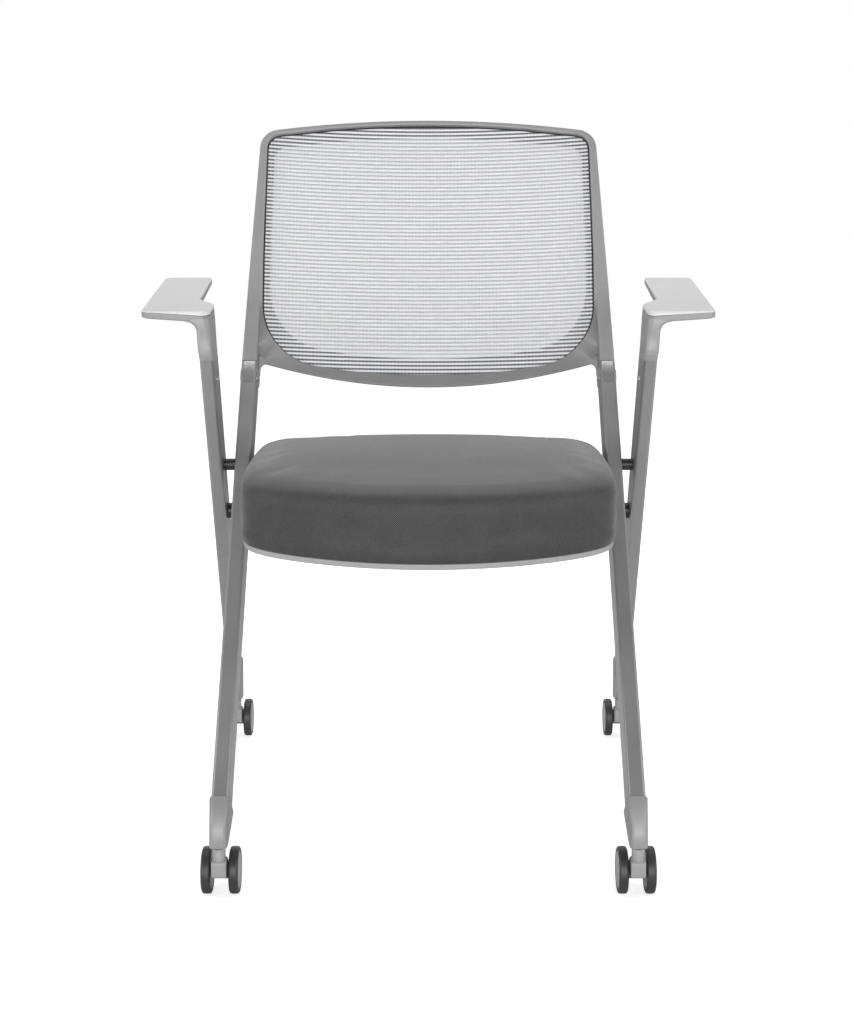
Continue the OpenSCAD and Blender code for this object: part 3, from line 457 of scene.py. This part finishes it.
def ring_section(w, web):
    """Section of the front ring: (distance in from the outer edge, depth)."""
    r = min(3.0, 0.42 * w)
    q = np.linspace(0, 1, 12)
    s = r * 0.6 + (w - r * 0.6) * q
    crown = FACE_T + 0.9 * (2 * s / w - 1) ** 4
    curved = -8.6 + 14.5 * np.maximum(1 - s / w, 0.0) ** 0.9
    face = crown * (1 - web) + curved * web
    front = face[0]
    arc = np.linspace(0, math.pi / 2, 6)
    rear = [(r * (1 - math.sin(a)), REAR_T - r * (1 - math.cos(a))) for a in arc]
    side = [(0.6 * r * (1 - math.cos(a)), front + r * (1 - math.sin(a))) for a in arc[:-1]]
    return ([(w - GROOVE_W, REAR_T)] + rear + side + list(zip(s, face))
            + [(w, face[-1] + 1.2), (w, GROOVE_T), (w - GROOVE_W, GROOVE_T)])


def ring(outer, inner, sections):
    """Closed ring of the back from a section at each pair of outer and inner points."""
    rings = []
    for o, i, section in zip(outer, inner, sections):
        e = (i - o) / np.linalg.norm(i - o)
        p = np.array([(*(o + e * s), t) for s, t in section])
        rings.append(on_back(p[:, 0], p[:, 2], p[:, 1]))
    return loft(rings, closed=True)


outer, inner = cast(back_outline(), ANGLES), cast(opening(0, 0, 0), ANGLES)
turned = np.degrees(np.arcsin(np.sin(ANGLES)))
web = 1 - smooth(-24, -13, turned)
widths = np.linalg.norm(outer - inner, axis=1)
back_ring = ring(outer, inner, [ring_section(w, b) for w, b in zip(widths, web)])


def boot():
    """From the collar's oblong section to the stile, and down into the stile's surface."""
    stile_slope, half = 0.0656, 8.6
    low = along_front(lift(rect(FRONT_W, FRONT_D, CORNER, 7), COLLAR_S + 0.9))
    rings = []
    for h, w, sink in ((84.0, 16.6, -0.12), (112.0, 15.0, 0.7)):
        x = FOOT_HALF - (h - FOOT_H) * stile_slope - half
        top = rect(w, 18.0 - 2 * sink, 3.0, 7)
        rings.append(on_back(x + top[:, 0], -1.0 + top[:, 1], h))
    shares = np.linspace(0, 1, 12)
    return loft([low * (1 - s) + rings[0] * s for s in shares] + [rings[1]])


def tongue():
    """Fillet between the lower rail and the collar's inner side."""
    a = np.radians(np.linspace(0, 90, 9))
    arc = [(217.3 - 9 * (1 - math.cos(k)), -9.0 + 9 * math.sin(k)) for k in a]
    side = [(FOOT_IN, 8.0), (FOOT_IN, -16.0), (217.6, -17.0)]
    outline = np.array(side + arc + [(204.0, 3.0), (206.0, 8.0)])
    return loft([on_back(outline[:, 0], t, outline[:, 1]) for t in (4.4, 4.9, 7.2, 7.8)])


sides = [boot(), tongue()]
mirrored = [(v * [-1, 1, 1], f) for v, f in sides]
piece("back_ring", join(back_ring, *sides, *mirrored), "frame", "grey_plastic", ["back_frame"], angle=32)


def rim_section(w):
    """Section of the rear rim, with one rounded edge at the opening."""
    r = 4.0
    arc = [(w - r + r * math.sin(a), REAR_T - r * (1 - math.cos(a))) for a in np.linspace(0, math.pi / 2, 7)]
    return [(0.0, -0.2), (0.0, REAR_T)] + arc + [(w, 0.8), (w - 1, -0.2)]


rim_out, rim_in = cast(opening(-3.8, -3.8, -3.8), ANGLES), cast(opening(9, 14, 24), ANGLES)
piece("rear_rim", ring(rim_out, rim_in, [rim_section(w) for w in np.linalg.norm(rim_out - rim_in, axis=1)]),
      "frame", "grey_plastic", ["back_rim"])

bead = [(0.88 + 0.84 * math.cos(k), -2.2 + 0.78 * math.sin(k))
        for k in np.linspace(0, 2 * math.pi, 10, endpoint=False)]
piece("net_welt", ring(inner, cast(opening(10, 10, 10), ANGLES), [bead] * len(ANGLES)),
      "frame", "dark_rubber", ["mesh_welt"])

net_edge = opening(-2.4, -2.4, -2.4)
net_next = np.roll(net_edge, -1, 0)
RIB_PITCH, THREAD_PITCH, THREAD_HALF = 5.17, 4.6, 0.35


def half_width(h):
    """Half width of the net at one height."""
    a, b = net_edge, net_next
    hit = (a[:, 1] <= h) != (b[:, 1] <= h)
    x = a[hit, 0] + (b[hit, 0] - a[hit, 0]) * (h - a[hit, 1]) / (b[hit, 1] - a[hit, 1])
    return float(np.abs(x).max())


def ends(x):
    """Heights of the net's lower and upper edge at one place across."""
    a, b = net_edge, net_next
    hit = (a[:, 0] <= x) != (b[:, 0] <= x)
    h = a[hit, 1] + (b[hit, 1] - a[hit, 1]) * (x - a[hit, 0]) / (b[hit, 0] - a[hit, 0])
    return float(h.min()), float(h.max())


def all_ribs():
    low, high = net_edge[:, 1].min(), net_edge[:, 1].max()
    oval = [(1.35 * math.cos(q), 0.42 * math.sin(q)) for q in np.linspace(0, 2 * math.pi, 8, endpoint=False)]
    ribs = []
    for k in range(int((high - low) / RIB_PITCH)):
        h = low + (k + 0.7) * RIB_PITCH
        half = half_width(h)
        ribs.append(loft([on_back(x, [-0.8 + t for _, t in oval], [h + d for d, _ in oval])
                          for x in np.linspace(-half, half, 44)]))
    return join(*ribs)


def all_threads():
    strip = [(-THREAD_HALF, -0.62), (THREAD_HALF, -0.62), (THREAD_HALF, -0.46), (-THREAD_HALF, -0.46)]
    threads = []
    for k in range(-46, 47):
        x = k * THREAD_PITCH
        threads.append(loft([on_back([x + d for d, _ in strip], [t for _, t in strip], h)
                             for h in np.linspace(*ends(x), 12)]))
    return join(*threads)


net_ribs = piece("net_ribs", all_ribs(), "frame", "mesh_fabric")
net_threads = add("net_threads", all_threads(), "frame",
                  netting("net_threads", (0.85, 0.86, 0.89), 0.6, 1500.0))
columns, rows = np.linspace(-OPEN_HALF - 2, OPEN_HALF + 2, 60), 40
grid = []
for x in columns:
    low, high = ends(x)
    grid.append([(x, low + (high - low) * j / rows) for j in range(rows + 1)])
ground_at = np.array(grid)
ground = on_back(ground_at[..., 0], -0.44, ground_at[..., 1])
n = rows + 1
quads = [(i * n + j, (i + 1) * n + j, (i + 1) * n + j + 1, i * n + j + 1)
         for i in range(len(columns) - 1) for j in range(rows)]
net = add("net_ground", (ground.reshape(-1, 3), quads), "frame",
          netting("net_ground", (0.14, 0.14, 0.15), 0.6, 1800.0), ["back_mesh"])


def collar():
    """Sleeve between the upright and the back, with a raised pad on each side."""
    heights, draws = rounded_edges(UPRIGHT_S + 0.5, COLLAR_S - 0.4, 0.4, 0.4, 2)
    body = shell(rect(FRONT_W, FRONT_D, CORNER, 7), along_front, heights, draws)
    clips = []
    middle = UPRIGHT_S + 20.8
    pad = rect(22.0, 18.0, 4.0)
    for way in (-1, 1):
        outs, draws = rounded_edges(5.0, FRONT_W / 2 + 2.2, 0.1, 1.9)
        clips.append(loft([along_front(np.stack([np.full(len(pad), way * x), inset(pad, d)[:, 0],
                                                 middle + inset(pad, d)[:, 1]], -1))
                           for x, d in zip(outs, draws)]))
    return join(body, *clips)


# Arms

def pad_outline():
    out = ARM_OUTER + ARM_LEN * math.tan(math.radians(ARM_SPLAY))
    back = out - ARM_W
    return rounded([(NECK_IN, 0, 12), (ARM_OUTER, 0, 10), (out, ARM_LEN, 10), (back, ARM_LEN, 4),
                    (back - (ARM_LEN - NECK_STEP) * math.tan(math.radians(ARM_SPLAY)), NECK_STEP, 0),
                    (NECK_IN, NECK_STEP, 10)], 12)


def on_arm(p):
    c, s = math.cos(math.radians(ARM_RISE)), math.sin(math.radians(ARM_RISE))
    return np.stack([p[:, 0], ARM_Y + p[:, 1] * c - p[:, 2] * s,
                     ARM_Z - ARM_T / c + p[:, 1] * s + p[:, 2] * c], -1)


def cap_low(x):
    """Height of the line between the pad and the tray below it: lower at the inner head."""
    return 6.6 - 4.4 * (1 - smooth(NECK_IN + 4, NECK_IN + 34, x))


def arm_pad():
    """Flat pad over the tray, with a fine gap below and a softer edge at its inner head."""
    line = pad_outline()
    low, crown_low = cap_low(line[:, 0]), ARM_T - 0.4
    inner = 1 - smooth(NECK_IN, NECK_IN + 18, line[:, 0])
    gap = 0.15 + 0.45 * inner
    soft = 2.0 + 4.0 * inner
    rings = [on_arm(lift(inset(line, 6.0), low + gap)), on_arm(lift(inset(line, 0.3), low + gap))]
    for angle in np.linspace(math.pi / 2, 0, 9)[::-1]:
        high = crown_low - (crown_low - low - gap - 0.2) * (1 - math.sin(angle))
        rings.append(on_arm(lift(inset(line, soft * (1 - math.cos(angle))), high)))
    p = inset(line, soft)
    mid = p.mean(0)
    for share in (0.12, 0.3, 0.55):
        rings.append(on_arm(lift(p + (mid - p) * share, crown_low + 0.4 * (1 - (1 - share) ** 2))))
    return loft(rings)


def arm_tray(line):
    """Part of the support that carries the pad, thicker towards the neck."""
    x, y = line[:, 0], line[:, 1]
    tail = np.clip((ARM_OUTER - x) / (ARM_OUTER - NECK_IN - 20), 0, 1) * (1 - smooth(55, 115, y))
    low, high, edge_r = -4.8 * tail, cap_low(x) - 0.1, 1.8
    rings = [on_arm(lift(inset(line, 12.0), low))]
    for angle in np.linspace(0, math.pi / 2, 6):
        draw, up = edge_r * (1 - math.sin(angle)), edge_r * (1 - math.cos(angle))
        rings.append(on_arm(lift(inset(line, draw), low + up)))
    rings += [on_arm(lift(line, high)), on_arm(lift(inset(line, 5.0), high))]
    return loft(rings)


def arm_neck():
    """From the tube's end up to the tray, with a tight sweep outwards below it."""
    depth = REAR_D / math.cos(math.radians(REAR_LEAN))
    low_front, low_rear = rear_y(NECK_Z) - depth / 2, rear_y(NECK_Z) + depth / 2
    head_rear = ARM_Y + NECK_STEP
    inner0, outer0 = rear_x(NECK_Z) - REAR_W / 2, rear_x(NECK_Z) + REAR_W / 2
    middle = (ARM_Y + head_rear) / 2
    slope = math.radians(ARM_RISE)
    top = ARM_Z - ARM_T / math.cos(slope) + (middle - ARM_Y) * math.tan(slope) - 0.2
    rings = []
    tall = top - NECK_Z
    levels = [np.linspace(0, tall - 19, 10), np.linspace(tall - 18, tall - 4.6, 14), [tall]]
    for up in np.concatenate(levels):
        f = up / tall
        tilt = np.interp(f, (0, 0.3, 0.55, 0.75, 0.9, 1), (0, 0.3, 0.5, 0.75, 0.9, 1))
        turn = min(1.0, max(0.0, (up - (tall - 18.6)) / 14.0))
        x0 = inner0 + (NECK_IN - inner0) * f
        x1 = outer0 + 4.0 * f + 13.0 * (1 - math.sqrt(max(0.0, 1 - turn * turn)))
        front = low_front + (ARM_Y - low_front) * f - up * REAR_SLOPE * (1 - f) ** 2
        rear = low_rear + (head_rear - low_rear) * f - up * REAR_SLOPE * (1 - f) ** 3
        line = rect(x1 - x0, rear - front, CORNER + 5.5 * f * f, 8)
        lean = math.radians(ARM_RISE * tilt)
        rings.append(np.stack([(x0 + x1) / 2 + line[:, 0], (front + rear) / 2 + line[:, 1] * math.cos(lean),
                               NECK_Z + up + line[:, 1] * math.sin(lean)], -1))
    return join(loft(rings), arm_tray(pad_outline()))


# Shoes and casters

def hull(points):
    """Convex solid round the points."""
    bm = bmesh.new()
    for p in points:
        bm.verts.new(p)
    made_hull = bmesh.ops.convex_hull(bm, input=bm.verts)
    spare = made_hull["geom_interior"] + made_hull["geom_unused"]
    inside = {v for v in spare if isinstance(v, bmesh.types.BMVert)}
    bmesh.ops.delete(bm, geom=list(inside), context="VERTS")
    bm.verts.index_update()
    part = np.array([v.co for v in bm.verts]), [tuple(v.index for v in f.verts) for f in bm.faces]
    bm.free()
    return part


def shoe(place, w, d, length, x, y):
    """Cast shoe: a block from the tube's end down to a square end, with room for the swivel's stem."""
    block = rect(w + 2 * SHOE_WALL, d + 2 * SHOE_WALL, CORNER + SHOE_WALL, 9)
    rim = ((0, 1.4), (0.4, 0.5), (1.4, 0))
    points = [place(lift(inset(block, draw), length - drop)) for drop, draw in rim]
    points += [lift(rect(SHOE_D, SHOE_D, 5.0, 9) * k + [x, y], SHOE_Z + up)
               for k, up in ((0.8, 0), (0.93, 0.6), (1.0, 2.0), (0.85, 24.0))]
    return hull(np.concatenate(points))


def caster_body():
    """Bevelled body between the wheels with the round stem housing on top."""
    boss_r = 9.5
    a = np.radians(np.linspace(30, -140, 22))
    boss = [(TRAIL + boss_r * math.cos(k), WHEEL_R + boss_r * math.sin(k), 0) for k in a]
    side = rounded([(9.0, 46.0, 7)] + boss + [(-9.0, 27.0, 3), (-9.0, 46.0, 5)], 7)
    xs, draws = rounded_edges(-BODY_W / 2, BODY_W / 2, 1.8, 1.8)
    block = loft([np.stack([np.full(len(side), x), inset(side, d)[:, 0], inset(side, d)[:, 1]], -1)
                  for x, d in zip(xs, draws)])
    post = lathe([(0, 36), (7.2, 36), (7.25, 44), (7.25, 57.6), (6.6, 58.6), (0, 58.7)])
    return join(block, post)


def tyre():
    """Tread with rounded shoulders, from the hub's seat outwards."""
    r, w, e = WHEEL_R, WHEEL_W, 2.6
    a = np.radians(np.linspace(0, 90, 7))
    profile = [(r - 5.0, 0.1), (r - e - 0.5, 0.0)]
    profile += [(r - e + e * math.sin(k), e - e * math.cos(k)) for k in a]
    profile += [(r - e + e * math.cos(k), w - e + e * math.sin(k)) for k in a]
    profile += [(r - e - 0.5, w), (r - 5.0, w - 0.1)]
    return lathe(profile)


def hub():
    """Disc of a wheel with a raised rim and boss on its outer side."""
    w = WHEEL_W
    return lathe([(3.05, 0.2), (20.4, 0.2), (21.0, 0.8), (21.0, w - 1.2), (20.6, w - 0.5), (19.8, w - 0.15),
                  (17.4, w - 0.1), (15.6, w - 0.3), (14.4, w - 1.1), (12.6, w - 1.5), (8.6, w - 1.5),
                  (7.6, w - 1.1), (6.8, w - 0.3), (6.0, w - 0.05), (3.2, w), (0.0, w),
                  (0.0, w - 2.8), (3.05, w - 2.8)])


def set_wheel(part, x, y, way):
    """A turned part of a wheel, beside the caster whose stem is at x, y."""
    v, f = part
    across = x + way * (BODY_W / 2 + WHEEL_GAP + v[:, 2])
    return np.stack([across, y + TRAIL + v[:, 1], WHEEL_R + v[:, 0]], -1), f


def low_head(x, y, z, way, r, high, reach_in):
    """Flat domed head on one side of a tube, with its shank going in."""
    v, f = lathe([(0, -reach_in), (r * 0.55, -reach_in), (r * 0.55, -0.2), (r, -0.2), (r, high * 0.35),
                  (r * 0.86, high * 0.8), (r * 0.45, high), (r * 0.42, high * 0.5), (0, high * 0.5)], 40)
    return np.stack([x + way * v[:, 2], y + v[:, 0], z + v[:, 1]], -1), f


bolts = [low_head(rear_x(z) + REAR_W / 2, rear_y(z), z, 1, 7.0, 1.6, 30.0) for z in (CROSS_Z, CROSS_TUBE_Z)]
pins = [low_head(rear_x(ARM_SCREW_Z) - REAR_W / 2, rear_y(ARM_SCREW_Z), ARM_SCREW_Z, -1, 4.0, 1.3, 8.0)]
for name, parts, node in (("bolt_heads", bolts, "frame_bolts"), ("arm_pins", pins, "arm_screws")):
    both_sides = parts + [(v * [-1, 1, 1], f) for v, f in parts]
    piece(name, join(*both_sides), "frame", "zinc_screws", [node])

for side, sign in SIDES:
    piece(f"collar_{side}", collar(), "frame", "frame_paint", [f"back_collar_{side}"], sign)
    piece(f"pad_{side}", arm_pad(), "frame", "pad_plastic", [f"arm_pad_{side}"], sign, 50)
    piece(f"neck_{side}", arm_neck(), "frame", "grey_plastic", [f"arm_neck_{side}"], sign, 50)
    piece(f"shoe_front_{side}",
          shoe(along_front, FRONT_W, FRONT_D, FRONT_SHOE_LEN, FRONT_HALF, FRONT_STEM_Y),
          "frame", "grey_plastic", [f"front_shoe_{side}"], sign, 50)
    piece(f"shoe_rear_{side}", shoe(along_rear, REAR_W, REAR_D, REAR_SHOE_LEN, REAR_HALF, REAR_STEM_Y),
          "frame", "grey_plastic", [f"rear_shoe_{side}"], sign, 50)
    for end, x, y in (("front", FRONT_HALF, FRONT_STEM_Y), ("rear", REAR_HALF, REAR_STEM_Y)):
        corner = f"{end}_{side}"
        v, f = caster_body()
        piece(f"{corner}_fork", (v + [x, y, 0], f), f"{corner}_caster", "caster_plastic",
              [f"{corner}_caster_body"], sign)
        for which, way in (("inner", -1), ("outer", 1)):
            wheel = f"{corner}_{which}"
            piece(f"{wheel}_tread", set_wheel(tyre(), x, y, way), f"{wheel}_wheel", "tyre_rubber",
                  [f"{wheel}_tyre"], sign, 60)
            piece(f"{wheel}_disc", set_wheel(hub(), x, y, way), f"{wheel}_wheel", "hub_plastic",
                  [f"{wheel}_hub"], sign, 40)


# Seat: pan and cushion

def plan(angle, draw):
    """Seat's outline seen from above: a rounded square whose front edge bows forward."""
    c, s = np.cos(angle), np.sin(angle)
    hx, hv = CUSHION_W / 2 - draw, SEAT_D / 2 - draw
    out = (np.abs(c) ** PLAN_POWER + np.abs(s) ** PLAN_POWER) ** (-1 / PLAN_POWER)
    x = hx * c * out
    v = SEAT_D / 2 + hv * s * out
    return np.stack([x, v + FRONT_BOW * (x / hx) ** 2 * (1 - v / SEAT_D) ** 2], -1)


# Directions round the seat, closer together at its corners
turns = np.linspace(0, 2 * math.pi, 256, endpoint=False)
ROUND = turns + 0.22 * np.sin(4 * turns)


def top_n(x, v):
    """Height of the cushion's crown above the pan's lower plane."""
    fall = np.where(v < CREST_V, FRONT_DROP * ((CREST_V - v) / CREST_V) ** 2,
                    REAR_DROP * ((v - CREST_V) / (SEAT_D - CREST_V)) ** 2)
    side_fall = SIDE_DROP * np.abs(2 * x / CUSHION_W) ** 2.2
    rise_s, rise_c = math.sin(math.radians(SEAT_RISE)), math.cos(math.radians(SEAT_RISE))
    return (CREST_Z - fall - side_fall - SEAT_Z - v * rise_s) / rise_c


def seat_pan():
    """Underside of the seat with its raised lip, from rings of (draw, height)."""
    rings = [(8.5, 3.2), (6.7, 4.0), (6.5, 6.2), (6.1, 6.6), (4.1, 6.6), (3.5, 6.1), (3.5, 1.2), (3.7, 0.5),
             (4.1, 0.15), (4.8, 0.0), (24.0, 0.0), (60.0, 0.0), (120.0, 0.0)]
    return loft([on_seat(*plan(ROUND, d).T, z) for d, z in rings])


def cushion():
    """Crowned cover: upright sides, and a roll that is softer at the front than at the sides."""
    rings = [on_seat(*plan(ROUND, draw).T, n) for draw, n in ((6.5, 12.3), (6.5, 7.7), (4.4, COVER_N))]
    roll = SIDE_ROLL + FRONT_ROLL_MORE * (1 - smooth(60, 140, plan(ROUND, 0.0)[:, 1]))
    share = 1 - roll / 80
    for step in np.concatenate([np.linspace(0, 1, 22), 1 + np.sin(np.radians(np.linspace(6, 90, 16)))]):
        f = share * step if step <= 1 else share + (1 - share) * (step - 1)
        draw = np.where(f < 0.3, TUCK * np.clip(1 - f / 0.3, 0, 1) ** 2, 0.0)
        if step > 1:
            draw = roll * (1 - math.sqrt(max(0.0, 1 - (step - 1) ** 2)))
        p = plan(ROUND, draw)
        rings.append(on_seat(*p.T, COVER_N + f * (top_n(p[:, 0], p[:, 1]) - COVER_N)))
    p = plan(ROUND, roll)
    for s in np.linspace(0.03, 0.985, 34):
        x, v = p[:, 0] * (1 - s), SEAT_D / 2 + (p[:, 1] - SEAT_D / 2) * (1 - s)
        rings.append(on_seat(x, v, top_n(x, v)))
    return loft(rings)


def seat_height(points):
    """Height above the pan's lower plane, for points in metres."""
    c, s = math.cos(math.radians(SEAT_RISE)), math.sin(math.radians(SEAT_RISE))
    return (points[:, 2] - SEAT_Z * MM) * c - (points[:, 1] - SEAT_Y * MM) * s


# Metres above the pan's lower plane: what the cloth run holds still, and where its moves fade in
HELD_BELOW, EASED = 0.016, (0.010, 0.024)


def puff(obj, pressure, cap, frames):
    """Swells the cover like a filled cushion: an even copy is simulated, and its moves are carried over."""
    copy = bpy.data.objects.new("filling", obj.data.copy())
    scene.collection.objects.link(copy)
    remesh = copy.modifiers.new("even", "REMESH")
    remesh.mode = "VOXEL"
    remesh.voxel_size = 0.006
    bpy.context.view_layer.update()
    even = bpy.data.meshes.new_from_object(copy.evaluated_get(bpy.context.evaluated_depsgraph_get()))
    copy.modifiers.remove(remesh)
    copy.data = even
    rest = np.array([v.co for v in even.vertices])
    cloth = copy.modifiers.new("filled", "CLOTH")
    cloth.settings.quality = 6
    cloth.settings.mass = 0.3
    cloth.settings.tension_stiffness = 12
    cloth.settings.compression_stiffness = 12
    cloth.settings.bending_stiffness = 0.8
    cloth.settings.use_pressure = True
    cloth.settings.uniform_pressure_force = pressure
    cloth.settings.effector_weights.gravity = 0
    held = copy.vertex_groups.new(name="held")
    held.add([int(i) for i in np.nonzero(seat_height(rest) < HELD_BELOW)[0]], 1.0, "REPLACE")
    cloth.settings.vertex_group_mass = "held"
    for step in range(1, frames + 1):
        scene.frame_set(step)
    swollen = copy.evaluated_get(bpy.context.evaluated_depsgraph_get()).data.vertices
    move = np.array([v.co for v in swollen]) - rest
    far = np.linalg.norm(move, axis=1, keepdims=True)
    move *= np.minimum(1, cap / np.maximum(far, 1e-9))
    tree = mathutils.kdtree.KDTree(len(rest))
    for i, point in enumerate(rest):
        tree.insert(point, i)
    tree.balance()
    scene.frame_set(1)
    bpy.data.objects.remove(copy)
    points = np.array([v.co for v in obj.data.vertices])
    ease = smooth(*EASED, seat_height(points))
    for i, point in enumerate(points):
        near = tree.find_n(point, 8)
        weights = np.array([1 / (distance + 0.002) for _, _, distance in near])
        shift = (move[[index for _, index, _ in near]] * weights[:, None]).sum(0) / weights.sum()
        points[i] += shift * ease[i]
    obj.data.vertices.foreach_set("co", points.ravel())
    obj.data.update()


piece("pan_shell", seat_pan(), "seat", "pan_plastic", ["seat_pan"], angle=50)
cover = piece("cushion_cover", cushion(), "seat", "seat_fabric", ["seat_cushion"])
puff(cover, pressure=4.0, cap=0.0025, frames=20)

# Floor, light and camera

floor_data = bpy.data.meshes.new("floor")
floor_data.from_pydata([(-6, -6, 0), (6, -6, 0), (6, 6, 0), (-6, 6, 0)], [], [(0, 1, 2, 3)])
floor = bpy.data.objects.new("floor", floor_data)
floor.location.z = -0.0002
scene.collection.objects.link(floor)
floor_look = bpy.data.materials.new("floor")
floor_look.use_nodes = True
tree = floor_look.node_tree
tree.nodes.clear()
path = tree.nodes.new("ShaderNodeLightPath")
matte = tree.nodes.new("ShaderNodeBsdfDiffuse")
matte.inputs["Color"].default_value = (0.92, 0.92, 0.92, 1)
glow = tree.nodes.new("ShaderNodeEmission")
spot = tree.nodes.new("ShaderNodeVectorMath")
spot.operation = "LENGTH"
tree.links.new(tree.nodes.new("ShaderNodeTexCoord").outputs["Object"], spot.inputs[0])
fill = ramp(tree, spot.outputs["Value"], 0.5, 1.7, 0.65, 1.0)
tree.links.new(calc(tree, "MULTIPLY", path.outputs["Is Camera Ray"], fill), glow.inputs["Strength"])
both = tree.nodes.new("ShaderNodeAddShader")
tree.links.new(matte.outputs[0], both.inputs[0])
tree.links.new(glow.outputs[0], both.inputs[1])
tree.links.new(both.outputs[0], tree.nodes.new("ShaderNodeOutputMaterial").inputs["Surface"])
floor_data.materials.append(floor_look)

world = bpy.data.worlds.new("studio")
scene.world = world
world.use_nodes = True
tree = world.node_tree
back = tree.nodes["Background"]
path = tree.nodes.new("ShaderNodeLightPath")
split = tree.nodes.new("ShaderNodeSeparateXYZ")
tree.links.new(tree.nodes.new("ShaderNodeTexCoord").outputs["Generated"], split.inputs[0])
ahead = ramp(tree, split.outputs["Y"], -0.9, 0.6, 0.9, 0.6)
above = ramp(tree, split.outputs["Z"], 0.15, 0.8, 1.0, 0.2)
room = calc(tree, "MULTIPLY", calc(tree, "MULTIPLY", ahead, above),
            ramp(tree, path.outputs["Is Glossy Ray"], 0, 1, 0.4, 1.0))
seen = calc(tree, "MAXIMUM", path.outputs["Is Camera Ray"], path.outputs["Is Transmission Ray"])
back.inputs["Color"].default_value = (1, 1, 1, 1)
tree.links.new(calc(tree, "MAXIMUM", seen, room), back.inputs["Strength"])


def area_light(name, at, aim, size, power):
    data = bpy.data.lights.new(name, "AREA")
    data.shape = "RECTANGLE"
    data.size, data.size_y = size
    data.energy = power
    obj = bpy.data.objects.new(name, data)
    scene.collection.objects.link(obj)
    obj.location = at
    direction = np.array(aim, float) - np.array(at, float)
    flat = math.hypot(direction[0], direction[1])
    obj.rotation_euler = (math.atan2(flat, -direction[2]), 0, math.atan2(-direction[0], direction[1]))


area_light("top", (0, 0.8, 2.8), (0, -0.2, 0.45), (2.2, 1.0), 24)
area_light("front", (0, -3.2, 0.8), (0, 0, 0.45), (2.6, 1.4), 56)
area_light("rear", (0, 2.3, 1.4), (0, -0.1, 0.45), (2.2, 1.0), 8)
for way in (-1, 1):
    area_light("left" if way < 0 else "right", (way * 2.2, -0.9, 1.1), (0, 0, 0.45), (0.9, 1.8), 17)

lens = bpy.data.cameras.new("camera")
lens.lens = 61.17
lens.sensor_width = 36
camera = bpy.data.objects.new("camera", lens)
camera.location = (-0.0023, -2.101, 0.7727)
camera.rotation_euler = (math.radians(90 - 10.68), 0, 0)
scene.collection.objects.link(camera)
scene.camera = camera
scene.view_settings.view_transform = "Standard"
